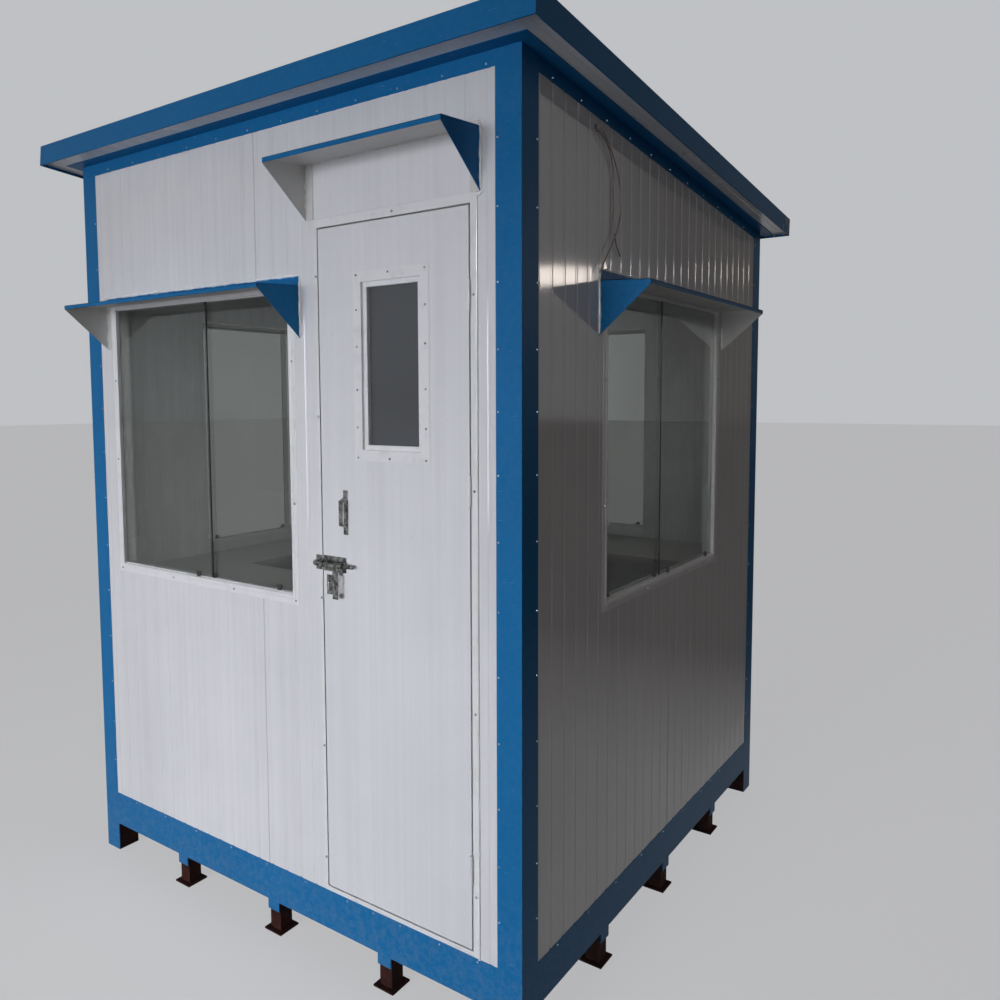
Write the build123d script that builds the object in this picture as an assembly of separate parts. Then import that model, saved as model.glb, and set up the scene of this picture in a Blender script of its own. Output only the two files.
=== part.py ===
from build123d import *
import math
import os

# Security guard booth: a prefabricated cabin of insulated sandwich panels on a raised steel base.
# Millimetres. The door is in the front, which faces -Y. +X is to the right seen from the front.
# The ground is z = 0, and the origin is the middle of the whole booth's outline on the ground.

# Front wall, laid out from the left corner to the right one
post_face = 82.0
window_margin = 104.0
window_width = 960.0
window_to_door = 134.5
leaf_width = 571.0
door_gap = 5.0
door_margin = 82.5

# Body depth, over the outside of the corner posts
body_depth = 1984.0
side_window_shift = 25.0

# Wall build-up, from the face of the corner posts inwards
trim_sheet = 3.0
wall_thick = 50.0
skin_sheet = 0.8
rib_rise = 1.2
rib_pitch = 70.0
rib_crown = 42.0
rib_slope = 2.0

# Base
leg_height = 110.0
rail_height = 130.0
rail_sheet = 3.0
corner_tube_sheet = 4.0
leg_tube = 50.0
leg_tube_sheet = 3.0
leg_setback = 8.0
foot_plate = 80.0
foot_plate_thick = 6.0
legs_per_side = 3
tab_width = 54.0
tab_drop = 34.0
joist_width = 50.0
joist_height = 100.0
joist_sheet = 3.0
floor_thick = 18.0

# Wall and roof heights. The roof falls towards the back.
wall_over_leaf = 339.5
band_height = 45.0
band_ledge = 40.0
band_ledge_sheet = 2.5
roof_fall = 0.079
roof_thick = 50.0
roof_front_reach = 108.0
roof_side_reach = 108.0
roof_back_reach = 80.0
roof_crest_rise = 14.0
roof_crest_foot = 60.0
roof_crest_top = 30.0
roof_crest_count = 9
fascia_drop = 10.0
fascia_rise = 14.0
fascia_sheet = 2.0
fascia_lip = 26.0
fascia_hem = 4.0

# Windows, one design on all four sides: two sliding panes in a white frame
window_height = 980.0
window_sill = 946.0
frame_side = 3.0
frame_track = 16.0
flange_face = 26.0
flange_sheet = 2.2
glass_thick = 5.0
glass_gap = 6.0
glass_setback = 12.0
pane_overlap = 30.0
pane_clear = 1.0
track_sheet = 2.0
track_rise = 9.0

# Hoods over the windows and over the door
hood_sheet = 1.5
hood_reach = 165.0
hood_flange = 18.0
hood_past_window = 54.0
hood_above_window = 42.0
hood_fall = 38.0
hood_cheek = 193.0
hood_lip = 26.0
door_hood_past_left = 51.5
door_hood_past_right = 39.5
door_hood_above_leaf = 199.5
door_hood_fall = 15.0
door_hood_clear = 0.5
door_hood_lip = 14.0
lintel_sheet = 1.2
lintel_gap = 2.0

# Door leaf and its frame
leaf_height = 2081.0
leaf_thick = 40.0
leaf_bottom = 19.5
jamb_sheet = 2.0
jamb_flange_left = 12.0
jamb_flange_right = 22.0
jamb_flange_head = 26.0
jamb_bead = 3.5
stop_width = 12.0

# Fixed light in the door leaf
light_width = 226.0
light_height = 496.0
light_from_hinge_edge = 282.5
light_below_top = 171.5
light_lining = 2.0
light_flange = 32.0
light_sash_face = 15.0
light_sash_setback = 8.0
light_glass = 5.0

# Butt hinges between the leaf's edge and the right jamb
hinge_heights = (238.5, 1314.5, 1842.5)
hinge_length = 84.0
hinge_plate = 1.5
hinge_plate_depth = 28.0
knuckle_radius = 5.0
knuckle_off = 5.5
knuckle_clear = 1.0
pin_radius = 2.5
pin_clear = 0.3

# Pull handle: a bow of flat bar on a strap
handle_from_hinge = 473.0
handle_over_bolt = 72.0
handle_strap_length = 137.0
handle_strap_width = 18.0
handle_strap_thick = 2.0
handle_length = 96.0
handle_width = 14.0
handle_bar = 4.0
handle_reach = 24.0
handle_foot = 10.0

# Sliding bolt with a swinging hasp over a staple
bolt_height = 1054.5
bolt_radius = 5.5
bolt_clear = 0.6
bolt_off = 16.0
bolt_length = 134.0
bolt_inset = 6.0
bolt_travel = 36.0
bolt_plate_inset = 3.0
bolt_plate_length = 96.0
bolt_plate_height = 48.0
bolt_plate_thick = 2.0
guide_length = 12.0
guide_wall = 3.0
guide_half = 15.0
keeper_gap = 4.5
keeper_length = 12.0
keeper_margin = 9.0
keeper_height = 46.0
hasp_offset = 70.0
hasp_collar = 20.0
hasp_collar_wall = 2.5
hasp_width = 22.0
hasp_length = 104.0
hasp_strap = 2.5
hasp_slot_width = 9.0
hasp_slot_length = 54.0
hasp_slot_foot = 16.0
hasp_clear = 0.3
staple_plate_width = 44.0
staple_plate_height = 62.0
staple_plate_top = 36.0
staple_rod = 2.5
staple_tall = 34.0
staple_rise = 14.0
staple_below = 67.0

# Shelf counter inside, along the left, front and back walls
counter_height = 900.0
counter_thick = 20.0
counter_left_depth = 335.0
counter_front_depth = 387.0
counter_back_depth = 466.0
counter_front_end = 60.0

# Loose wires out of a round recess high in the right wall. A route's points are the distance back from the
# front face, the height over the panel's foot, and how far out from the corner posts' face.
wire_radius = 1.8
wire_recess_radius = 11.0
wire_recess = 12.0
wire_a_route = (
    (401, 2381, -15), (401, 2381, 1), (411, 2369, 13), (430, 2355, 17), (456, 2340, 14), (484, 2320, 12),
    (509, 2290, 12), (532, 2252, 12), (545, 2206, 12), (546, 2154, 12), (528, 2108, 12), (496, 2060, 12),
    (460, 2018, 12), (426, 1982, 12), (409, 1956, 12),
)
wire_b_route = (
    (406, 2370, -15), (406, 2370, -3), (416, 2366, 5), (438, 2356, 6), (467, 2341, 5), (491, 2314, 5),
    (506, 2275, 5), (514, 2230, 5), (516, 2182, 5), (515, 2130, 5), (516, 2092, 5), (524, 2064, 5),
    (540, 2041, 5), (559, 2024, 5),
)

# How far a cutting block runs past what it cuts
past = 20.0

# Levels and planes worked out from the sizes above
opening_width = leaf_width + 2 * door_gap
body_width = 2 * post_face + window_margin + window_width + window_to_door + opening_width + door_margin
floor_top = leg_height + rail_height
wall_show = leaf_bottom + leaf_height + wall_over_leaf
soffit_front = floor_top + wall_show + band_height
x_side = body_width / 2
y_front = -body_depth / 2
y_back = body_depth / 2
x_inner = x_side - trim_sheet - wall_thick
y_inner = y_back - trim_sheet - wall_thick
skin_face = trim_sheet - skin_sheet - rib_rise
face = trim_sheet - flange_sheet
face_y = y_front + face
front_window_x = -x_side + post_face + window_margin + window_width / 2
window_z = floor_top + window_sill
open_x1 = x_side - post_face - door_margin
open_x0 = open_x1 - opening_width
leaf_x0 = open_x0 + door_gap
leaf_x1 = open_x1 - door_gap
leaf_z = floor_top + leaf_bottom
open_z0 = leaf_z - door_gap
open_z1 = leaf_z + leaf_height + door_gap
axis_x = leaf_x1 + door_gap / 2
axis_y = face_y - knuckle_off
bolt_z = leaf_z + bolt_height
door_hood_cheek = door_hood_above_leaf - door_gap - jamb_flange_head - door_hood_clear
bolt_y = face_y - bolt_off
side_lengths = {"front": body_width, "right": body_depth, "back": body_width, "left": body_depth}
window_middles = {
    "front": front_window_x,
    "right": -side_window_shift,
    "back": 0.0,
    "left": side_window_shift,
}


def span(x0, x1, y0, y1, z0, z1):
    """A block between two corners."""
    return Pos((x0 + x1) / 2, (y0 + y1) / 2, (z0 + z1) / 2) * Box(x1 - x0, y1 - y0, z1 - z0)


def tube(x0, x1, y0, y1, z0, z1, sheet):
    """An upright square tube between two corners."""
    return span(x0, x1, y0, y1, z0, z1) - span(x0 + sheet, x1 - sheet, y0 + sheet, y1 - sheet, z0, z1)


def carried(points, along, start, length):
    """A closed outline carried along X, Y or Z. The points are the other two axes, in order."""
    if along == "X":
        plane = Plane(origin=(start, 0, 0), x_dir=(0, 1, 0), z_dir=(1, 0, 0))
    elif along == "Y":
        plane = Plane(origin=(0, start, 0), x_dir=(-1, 0, 0), z_dir=(0, 1, 0))
        points = [(-a, b) for a, b in points]
    else:
        plane = Plane(origin=(0, 0, start), x_dir=(1, 0, 0), z_dir=(0, 0, 1))
    return extrude(plane * make_face(Polyline(*points, close=True)), length)


def side(name):
    """Where a wall's own frame lies: X to its right seen from outside, Y inwards, Z up."""
    places = {
        "front": Pos(0, y_front, 0),
        "right": Pos(x_side, 0, 0) * Rot(0, 0, 90),
        "back": Pos(0, y_back, 0) * Rot(0, 0, 180),
        "left": Pos(-x_side, 0, 0) * Rot(0, 0, -90),
    }
    return places[name]


def soffit_at(y):
    """Height of the underside of the roof at a distance along Y."""
    return soffit_front - roof_fall * (y - y_front)


def under_roof(solid, drop=0.0):
    """Cuts away what stands above a plane parallel to the roof's underside and a drop below it."""
    y0 = y_front - 10 * past
    y1 = y_back + 10 * past
    points = [
        (y0, soffit_at(y0) - drop),
        (y1, soffit_at(y1) - drop),
        (y1, soffit_front + 10 * past),
        (y0, soffit_front + 10 * past),
    ]
    return solid - carried(points, "X", -body_width, 2 * body_width)


def over_plane(solid, drop):
    """Keeps what stands above a plane that lies a drop below the sloping underside of the roof."""
    return solid - under_roof(solid, drop)


def on_roof(solid):
    """Tilts what is built flat, with the front wall's soffit line as its X axis, into the roof's fall."""
    return Pos(0, y_front, soffit_front) * Rot(-math.degrees(math.atan(roof_fall)), 0, 0) * solid


def ribbed_outline(length, depth_low, depth_high, back):
    """Plan of a sheet with shallow trapezoid ribs: wide crowns at one depth, narrow valleys at another."""
    points = [(-length / 2, back)]
    step = (rib_pitch - rib_crown) / 2
    count = math.ceil(length / rib_pitch) + 1
    start = -count * rib_pitch / 2
    marks = []
    for i in range(count):
        x = start + i * rib_pitch
        marks += [
            (x + step - rib_slope, depth_low),
            (x + step, depth_high),
            (x + step + rib_crown, depth_high),
            (x + step + rib_crown + rib_slope, depth_low),
        ]
    inside = [(x, y) for x, y in marks if -length / 2 + rib_slope < x < length / 2 - rib_slope]
    points.append((-length / 2, inside[0][1]))
    points += inside
    points.append((length / 2, inside[-1][1]))
    points.append((length / 2, back))
    return points


def window_box(middle, margin):
    """The block over a window and a margin round it, through the wall, in the wall's own frame."""
    half = window_width / 2 + margin
    z0 = window_z - margin
    z1 = window_z + window_height + margin
    return span(middle - half, middle + half, -past, trim_sheet + wall_thick + past, z0, z1)


def window_frame(middle):
    """White frame with a flat flange on the wall and two tracks for the panes, in the wall's own frame."""
    half = window_width / 2
    inner = half - frame_side
    z0 = window_z
    z1 = window_z + window_height
    low = z0 + frame_track
    high = z1 - frame_track
    out = flange_face
    frame = span(middle - half, middle + half, face, trim_sheet + wall_thick, z0, z1)
    frame += span(middle - half - out, middle + half + out, face, trim_sheet, z0 - out, z1 + out)
    frame -= span(middle - inner, middle + inner, -past, trim_sheet + wall_thick + past, low, high)
    pane = trim_sheet + glass_setback
    fins = [
        pane - pane_clear - track_sheet,
        pane + glass_thick + (glass_gap - track_sheet) / 2,
        pane + 2 * glass_thick + glass_gap + pane_clear,
    ]
    for y in fins:
        frame += span(middle - inner, middle + inner, y, y + track_sheet, low, low + track_rise)
        frame += span(middle - inner, middle + inner, y, y + track_sheet, high - track_rise, high)
    return frame


def window_panes(middle):
    """Two sliding sheets of glass, one behind the other, in the wall's own frame."""
    half = window_width / 2 - frame_side
    z0 = window_z + frame_track
    z1 = window_z + window_height - frame_track
    y0 = trim_sheet + glass_setback
    y1 = y0 + glass_thick + glass_gap
    lap = pane_overlap / 2
    outer = span(middle - half, middle + lap, y0, y0 + glass_thick, z0, z1)
    inner = span(middle - lap, middle + half, y1, y1 + glass_thick, z0, z1)
    return Compound([outer, inner])


def hood(x0, x1, top, fall, cheek, lip):
    """Bent sheet hood: falling canopy with a front lip, two cheeks and their wall flanges."""
    sheet = hood_sheet
    edge = [
        (skin_face, top),
        (-hood_reach, top - fall),
        (-hood_reach, top - fall - lip),
        (-hood_reach + sheet, top - fall - lip),
        (-hood_reach + sheet, top - fall - sheet),
        (skin_face, top - sheet),
    ]
    profile = [
        (skin_face, top),
        (-hood_reach, top - fall),
        (-hood_reach, top - fall - lip),
        (skin_face, top - cheek),
    ]
    shape = carried(edge, "X", x0, x1 - x0)
    shape += carried(profile, "X", x0, sheet)
    shape += carried(profile, "X", x1 - sheet, sheet)
    for a, b in ((x0, x0 + hood_flange), (x1 - hood_flange, x1)):
        shape += span(a, b, skin_face - sheet, skin_face, top - cheek, top - sheet)
    return shape


def base_rails():
    """Blue channel rails between the corner posts, open inwards, with a tab down the face of each leg."""
    deep = trim_sheet + wall_thick
    sheet = rail_sheet
    edge = [
        (0, leg_height),
        (deep, leg_height),
        (deep, leg_height + sheet),
        (sheet, leg_height + sheet),
        (sheet, floor_top - sheet),
        (deep, floor_top - sheet),
        (deep, floor_top),
        (0, floor_top),
    ]
    rails = []
    for name, length in side_lengths.items():
        run = length - 2 * post_face
        rail = carried(edge, "X", -run / 2, run)
        for x in leg_places(length):
            rail += span(x - tab_width / 2, x + tab_width / 2, 0, sheet, leg_height - tab_drop, leg_height)
        rails.append(side(name) * rail)
    return Compound(rails)


def leg_places(length):
    """Middles of the legs between two corners, evenly spread."""
    return [-length / 2 + length * (i + 1) / (legs_per_side + 1) for i in range(legs_per_side)]


def legs():
    """Short square legs on foot plates under the rails."""
    found = []
    for name, length in side_lengths.items():
        y0 = leg_setback
        middle = y0 + leg_tube / 2
        for x in leg_places(length):
            half = leg_tube / 2
            leg = tube(x - half, x + half, y0, y0 + leg_tube, foot_plate_thick, leg_height, leg_tube_sheet)
            half = foot_plate / 2
            leg += span(x - half, x + half, middle - half, middle + half, 0, foot_plate_thick)
            found.append(side(name) * leg)
    return Compound(found)


def corner_tubes():
    """Square tubes inside the corner posts, from the ground to just under the floor."""
    size = post_face - trim_sheet
    top = floor_top - floor_thick
    found = []
    for sx in (-1, 1):
        for sy in (-1, 1):
            xs = sorted((sx * (x_side - trim_sheet), sx * (x_side - trim_sheet - size)))
            ys = sorted((sy * (y_back - trim_sheet), sy * (y_back - trim_sheet - size)))
            found.append(tube(xs[0], xs[1], ys[0], ys[1], 0, top, corner_tube_sheet))
    return Compound(found)


def joists():
    """Rectangular tubes from the front rail to the back rail, under the floor board."""
    top = floor_top - floor_thick
    y0 = y_front + rail_sheet
    y1 = y_back - rail_sheet
    found = []
    for x in leg_places(body_width):
        half = joist_width / 2
        outer = span(x - half, x + half, y0, y1, top - joist_height, top)
        half -= joist_sheet
        low = top - joist_height + joist_sheet
        found.append(outer - span(x - half, x + half, y0, y1, low, top - joist_sheet))
    return Compound(found)


def corner_posts():
    """Blue angle trims over the corners of the walls, from the ground to the roof."""
    found = []
    for sx in (-1, 1):
        for sy in (-1, 1):
            x = sx * x_side
            y = sy * y_back
            x_in = x - sx * trim_sheet
            y_in = y - sy * trim_sheet
            x_end = x - sx * post_face
            y_end = y - sy * post_face
            points = [(x, y), (x_end, y), (x_end, y_in), (x_in, y_in), (x_in, y_end), (x, y_end)]
            found.append(under_roof(carried(points, "Z", 0, soffit_front + past)))
    return Compound(found)


def wall_block(x0, x1, y0, y1, z0=floor_top):
    """A panel's insulated core, cut off under the roof."""
    return under_roof(span(x0, x1, y0, y1, z0, soffit_front + past))


def wall_cores():
    """The six panels: three round the doorway, and one on each other side."""
    x_out = x_side - trim_sheet
    y_out = y_back - trim_sheet
    jamb = jamb_sheet
    found = {}
    left = wall_block(-x_out, open_x0 - jamb, -y_out, -y_inner)
    found["front_wall_left"] = left - side("front") * window_box(front_window_x, 0)
    found["front_wall_right"] = wall_block(open_x1 + jamb, x_out, -y_out, -y_inner)
    over = wall_block(open_x0 - jamb, open_x1 + jamb, -y_out, -y_inner, open_z1 + jamb)
    found["front_wall_over_door"] = over
    back = wall_block(-x_out, x_out, y_inner, y_out)
    found["back_wall"] = back - side("back") * window_box(window_middles["back"], 0)
    right = wall_block(x_inner, x_out, -y_inner, y_inner)
    found["right_wall"] = right - side("right") * window_box(window_middles["right"], 0) - wire_bore()
    left_side = wall_block(-x_out, -x_inner, -y_inner, y_inner)
    found["left_wall"] = left_side - side("left") * window_box(window_middles["left"], 0)
    return found


def wall_skins():
    """Thin ribbed steel sheets over the outside of the panels, between the blue trims."""
    found = {}
    for name, length in side_lengths.items():
        clear = length - 2 * post_face
        low = trim_sheet - skin_sheet
        outline = ribbed_outline(clear, low, skin_face, trim_sheet)
        sheet = carried(outline, "Z", floor_top, soffit_front - floor_top)
        sheet -= window_box(window_middles[name], flange_face)
        if name == "front":
            x0 = open_x0 - jamb_flange_left
            x1 = open_x1 + jamb_flange_right + jamb_bead
            sheet -= span(x0, x1, -past, past, floor_top - past, open_z1 + jamb_flange_head)
            sheet -= lintel_panel(past)
        found[name + "_skin"] = under_roof(side(name) * sheet, band_height)
    found["right_skin"] -= wire_bore()
    return found


def wire_bore():
    """The round recess in the right wall that the wires come out of."""
    u0, w0, _ = wire_a_route[0]
    u1, w1, _ = wire_b_route[0]
    place = Pos(x_side - trim_sheet, y_front + (u0 + u1) / 2, floor_top + (w0 + w1) / 2) * Rot(0, 90, 0)
    return place * Cylinder(wire_recess_radius, 2 * wire_recess)


def lintel_panel(extra):
    """The flat sheet over the doorway, between the frame's head and the door hood."""
    top = leaf_z + leaf_height + door_hood_above_leaf - hood_sheet
    x0 = open_x0 - jamb_flange_left
    x1 = leaf_x1 + door_hood_past_right - hood_sheet
    low = open_z1 + jamb_flange_head + (0 if extra else lintel_gap)
    return span(x0, x1, trim_sheet - lintel_sheet - extra, trim_sheet, low, top)


def top_bands():
    """Blue angles under the eaves: one leg down the wall, and a ledge out under the soffit."""
    found = []
    tall = roof_fall * 2 * body_depth
    for name, length in side_lengths.items():
        run = length - 2 * post_face
        full = length + 2 * band_ledge if name in ("front", "back") else length
        z0 = soffit_front - tall
        z1 = soffit_front + past
        leg = side(name) * span(-run / 2, run / 2, 0, trim_sheet, z0, z1)
        ledge = side(name) * span(-full / 2, full / 2, -band_ledge, 0, z0, z1)
        leg = over_plane(under_roof(leg), band_height)
        found.append(leg + over_plane(under_roof(ledge), band_ledge_sheet))
    return Compound(found)


def roof_panel():
    """Sandwich roof with long crests running down its fall."""
    x1 = x_side + roof_side_reach - fascia_sheet
    y0 = -roof_front_reach + fascia_sheet
    y1 = body_depth + roof_back_reach - fascia_sheet
    slab = span(-x1, x1, y0, y1, 0, roof_thick)
    pitch = 2 * (x1 - fascia_lip - roof_crest_foot) / (roof_crest_count - 1)
    for i in range(roof_crest_count):
        x = (i - (roof_crest_count - 1) / 2) * pitch
        points = [
            (x - roof_crest_foot / 2, roof_thick),
            (x + roof_crest_foot / 2, roof_thick),
            (x + roof_crest_top / 2, roof_thick + roof_crest_rise),
            (x - roof_crest_top / 2, roof_thick + roof_crest_rise),
        ]
        slab += carried(points, "Y", y0 + fascia_lip, y1 - y0 - 2 * fascia_lip)
    return on_roof(slab)


def fascia_outline(edge, out):
    """Folded sheet at one edge of the roof: a lip over the roof's top and a narrow hem under its edge."""
    low = -fascia_drop
    high = roof_thick + fascia_rise
    web = edge - out * fascia_sheet
    tip = edge - out * fascia_lip
    hem = edge - out * fascia_hem
    return [
        (edge, low),
        (hem, low),
        (hem, low + fascia_sheet),
        (web, low + fascia_sheet),
        (web, high - fascia_sheet),
        (tip, high - fascia_sheet),
        (tip, high),
        (edge, high),
    ]


def roof_trims():
    """Blue folded sheets closing the four edges of the roof. The side ones close the corners."""
    x1 = x_side + roof_side_reach
    y0 = -roof_front_reach
    y1 = body_depth + roof_back_reach
    inner = x1 - fascia_sheet
    low = -fascia_drop - past
    high = roof_thick + fascia_rise + past
    front = carried(fascia_outline(y0, -1), "X", -inner, 2 * inner)
    back = carried(fascia_outline(y1, 1), "X", -inner, 2 * inner)
    ends = span(-inner, inner, y0 - past, y0 + fascia_lip, low, high)
    ends += span(-inner, inner, y1 - fascia_lip, y1 + past, low, high)
    right = carried(fascia_outline(x1, 1), "Y", y0, y1 - y0) - ends
    left = carried(fascia_outline(-x1, -1), "Y", y0, y1 - y0) - ends
    return Compound([on_roof(solid) for solid in (front, back, right, left)])


def jamb_outline(edge, out, flange):
    """Plan of a jamb whose web stands at an edge of the opening, with out pointing away from it."""
    stop_y = face_y + leaf_thick + door_gap
    y1 = y_front + trim_sheet
    y2 = y1 + wall_thick
    web = edge + out * jamb_sheet
    return [
        (edge, face_y),
        (edge, stop_y),
        (edge - out * stop_width, stop_y),
        (edge - out * stop_width, y2),
        (web, y2),
        (web, y1),
        (edge + out * flange, y1),
        (edge + out * flange, face_y),
    ]


def door_frame():
    """Folded jambs and head round the doorway, with a stop behind the leaf, and the threshold strip."""
    y1 = y_front + trim_sheet
    y2 = y1 + wall_thick
    stop_y = face_y + leaf_thick + door_gap
    tall = open_z1 + jamb_flange_head - floor_top
    left = carried(jamb_outline(open_x0, -1, jamb_flange_left), "Z", floor_top, tall)
    right = carried(jamb_outline(open_x1, 1, jamb_flange_right), "Z", floor_top, tall)
    top = open_z1 + jamb_flange_head + past
    behind = span(open_x0 - past, open_x1 + past, y1, y2 + past, open_z1 + jamb_sheet, top)
    left -= behind
    right -= behind
    bead_y = y1 - jamb_bead
    bead = Pos(open_x1 + jamb_flange_right, bead_y, floor_top + tall / 2) * Cylinder(jamb_bead, tall)
    right += bead - span(0, x_side, y1, y_back, floor_top - past, soffit_front)
    head = [
        (face_y, open_z1),
        (stop_y, open_z1),
        (stop_y, open_z1 - stop_width),
        (y2, open_z1 - stop_width),
        (y2, open_z1 + jamb_sheet),
        (y1, open_z1 + jamb_sheet),
        (y1, open_z1 + jamb_flange_head),
        (face_y, open_z1 + jamb_flange_head),
    ]
    found = {"door_jamb_left": left, "door_jamb_right": right}
    found["door_head"] = carried(head, "X", open_x0, opening_width) - left - right
    found["door_threshold"] = span(open_x0, open_x1, face_y, y2, floor_top, open_z0) - left - right
    return found


def light_block(margin, y0, y1):
    """The block over the leaf's light and a margin round it, between two planes."""
    x = leaf_x1 - light_from_hinge_edge
    half = light_width / 2 + margin
    z = leaf_z + leaf_height - light_below_top - light_height
    return span(x - half, x + half, y0, y1, z - margin, z + light_height + margin)


def door_leaf():
    """Insulated flat leaf with the hole for its light."""
    leaf = span(leaf_x0, leaf_x1, face_y, face_y + leaf_thick, leaf_z, leaf_z + leaf_height)
    return leaf - light_block(light_lining, face_y - past, face_y + leaf_thick + past)


def door_light():
    """Screwed flange and lining round the hole, the narrow sash set back in it, and the glass."""
    y1 = face_y + leaf_thick
    sash_y = face_y + light_sash_setback
    lining = light_block(light_lining, face_y, y1)
    flange = light_block(light_flange, face_y - lintel_sheet, face_y)
    frame = lining + flange - light_block(0, face_y - past, y1 + past)
    sash = light_block(0, sash_y, y1) - light_block(-light_sash_face, face_y - past, y1 + past)
    middle = (sash_y + y1) / 2
    glass = light_block(-light_sash_face, middle - light_glass / 2, middle + light_glass / 2)
    return frame + sash, glass


def knuckle(z0, length, radius):
    """A round of the hinge's barrel between two heights."""
    return Pos(axis_x, axis_y, z0 + length / 2) * Cylinder(radius, length)


def notch(z0, z1):
    """The block cut from a hinge plate to clear the other plate's knuckle."""
    reach = axis_y + knuckle_radius + knuckle_clear
    return span(axis_x - past, axis_x + past, axis_y - past, reach, z0, z1)


def hinges():
    """Butt hinges: outer knuckles and pin on the jamb's plate, middle knuckle on the leaf's plate."""
    still = []
    moving = []
    third = (hinge_length - 2 * knuckle_clear) / 3
    back = face_y + hinge_plate_depth
    for height in hinge_heights:
        z0 = leaf_z + height - hinge_length / 2
        z1 = z0 + hinge_length
        mid0 = z0 + third + knuckle_clear
        jamb_plate = span(open_x1 - hinge_plate, open_x1, axis_y, back, z0, z1)
        jamb_plate -= notch(z0 + third, z1 - third)
        barrel = knuckle(z0, third, knuckle_radius) + knuckle(z1 - third, third, knuckle_radius)
        still.append(barrel + jamb_plate + knuckle(z0, hinge_length, pin_radius))
        leaf_plate = span(leaf_x1, leaf_x1 + hinge_plate, axis_y, back, z0, z1)
        leaf_plate -= notch(z0 - past, mid0) + notch(mid0 + third, z1 + past)
        middle = knuckle(mid0, third, knuckle_radius) + leaf_plate
        moving.append(middle - knuckle(z0 - past, hinge_length + 2 * past, pin_radius + pin_clear))
    return Compound(still), Compound(moving)


def door_handle():
    """Pull handle: a bow of flat bar whose feet are bent out along a strap on the leaf."""
    x = axis_x - handle_from_hinge
    half = handle_length / 2
    strap_y = face_y - handle_strap_thick
    strap_half = handle_strap_length / 2
    z = bolt_z + bolt_plate_height / 2 + handle_over_bolt + strap_half
    wide = handle_strap_width / 2
    strap = span(x - wide, x + wide, strap_y, face_y, z - strap_half, z + strap_half)
    y_out = face_y - handle_reach
    y_in = y_out + handle_bar
    slant = handle_foot
    outer = [
        (strap_y, z - half),
        (y_out, z - half + slant),
        (y_out, z + half - slant),
        (strap_y, z + half),
        (strap_y, z + half - handle_bar),
        (y_in, z + half - slant - handle_bar),
        (y_in, z - half + slant + handle_bar),
        (strap_y, z - half + handle_bar),
    ]
    return strap + carried(outer, "X", x - handle_width / 2, handle_width)


def bolt_eye(x0, length, base):
    """A saddle round the bolt: a ring between two feet that lie on a plate's face."""
    bore = bolt_radius + bolt_clear
    outer = bore + guide_wall
    place = Pos(x0 + length / 2, bolt_y, bolt_z) * Rot(0, 90, 0)
    body = place * Cylinder(outer, length)
    body += span(x0, x0 + length, bolt_y, base, bolt_z - outer, bolt_z + outer)
    body += span(x0, x0 + length, base - guide_wall, base, bolt_z - guide_half, bolt_z + guide_half)
    body -= place * Cylinder(bore, length + past)
    return body - span(x0 - past, x0 + length + past, base, base + past, bolt_z - past, bolt_z + past)


def bolt_parts():
    """Bolt plate with its guides and staple, the round bolt, and the keeper on the jamb."""
    base = face_y - bolt_plate_thick
    x0 = leaf_x0 + bolt_plate_inset
    x1 = x0 + bolt_plate_length
    half = bolt_plate_height / 2
    plate = span(x0, x1, base, face_y, bolt_z - half, bolt_z + half)
    plate += bolt_eye(x0, guide_length, base)
    plate += bolt_eye(x1 - guide_length, guide_length, base)
    middle = x0 + hasp_offset - bolt_travel
    plate += staple(middle, base)
    rod_x = leaf_x0 + bolt_inset
    rod = Pos(rod_x + bolt_length / 2, bolt_y, bolt_z) * Rot(0, 90, 0) * Cylinder(bolt_radius, bolt_length)
    rod = chamfer(rod.edges().filter_by(GeomType.CIRCLE), bolt_radius / 4)
    keeper_x1 = open_x0 - keeper_gap
    keeper_x0 = keeper_x1 - keeper_length
    tall = keeper_height / 2
    keeper = span(keeper_x0 - keeper_margin, open_x0 - 1, base, face_y, bolt_z - tall, bolt_z + tall)
    keeper += bolt_eye(keeper_x0, keeper_length, base)
    return plate, rod, keeper


def staple(middle, base):
    """Padlock staple under the bolt: an upright bow of round rod on a small plate."""
    half = staple_plate_width / 2
    top = bolt_z - staple_plate_top
    plate = span(middle - half, middle + half, base, face_y, top - staple_plate_height, top)
    reach = base - staple_rise
    low = bolt_z - staple_below - staple_tall / 2 + staple_rod
    high = low + staple_tall - 2 * staple_rod
    path = FilletPolyline(
        (middle, base, low),
        (middle, reach, low),
        (middle, reach, high),
        (middle, base, high),
        radius=2 * staple_rod,
    )
    start = Plane(origin=(middle, base, low), z_dir=(0, -1, 0))
    return plate + sweep(start * RegularPolygon(staple_rod, 8), path)


def bolt_hasp():
    """Slotted hasp that hangs from a collar on the bolt, in front of the staple."""
    x = leaf_x0 + bolt_plate_inset + hasp_offset
    inner = bolt_radius + hasp_clear
    outer = inner + hasp_collar_wall
    place = Pos(x, bolt_y, bolt_z) * Rot(0, 90, 0)
    front = bolt_y - outer
    half = hasp_width / 2
    strap = span(x - half, x + half, front, front + hasp_strap, bolt_z - hasp_length, bolt_z)
    foot = bolt_z - hasp_length
    slot_half = hasp_slot_width / 2
    strap -= span(x - slot_half, x + slot_half, front - past, front + past, foot + hasp_slot_foot,
                  foot + hasp_slot_foot + hasp_slot_length)
    body = place * Cylinder(outer, hasp_collar) + strap
    return body - place * Cylinder(inner, hasp_collar + past)


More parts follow.
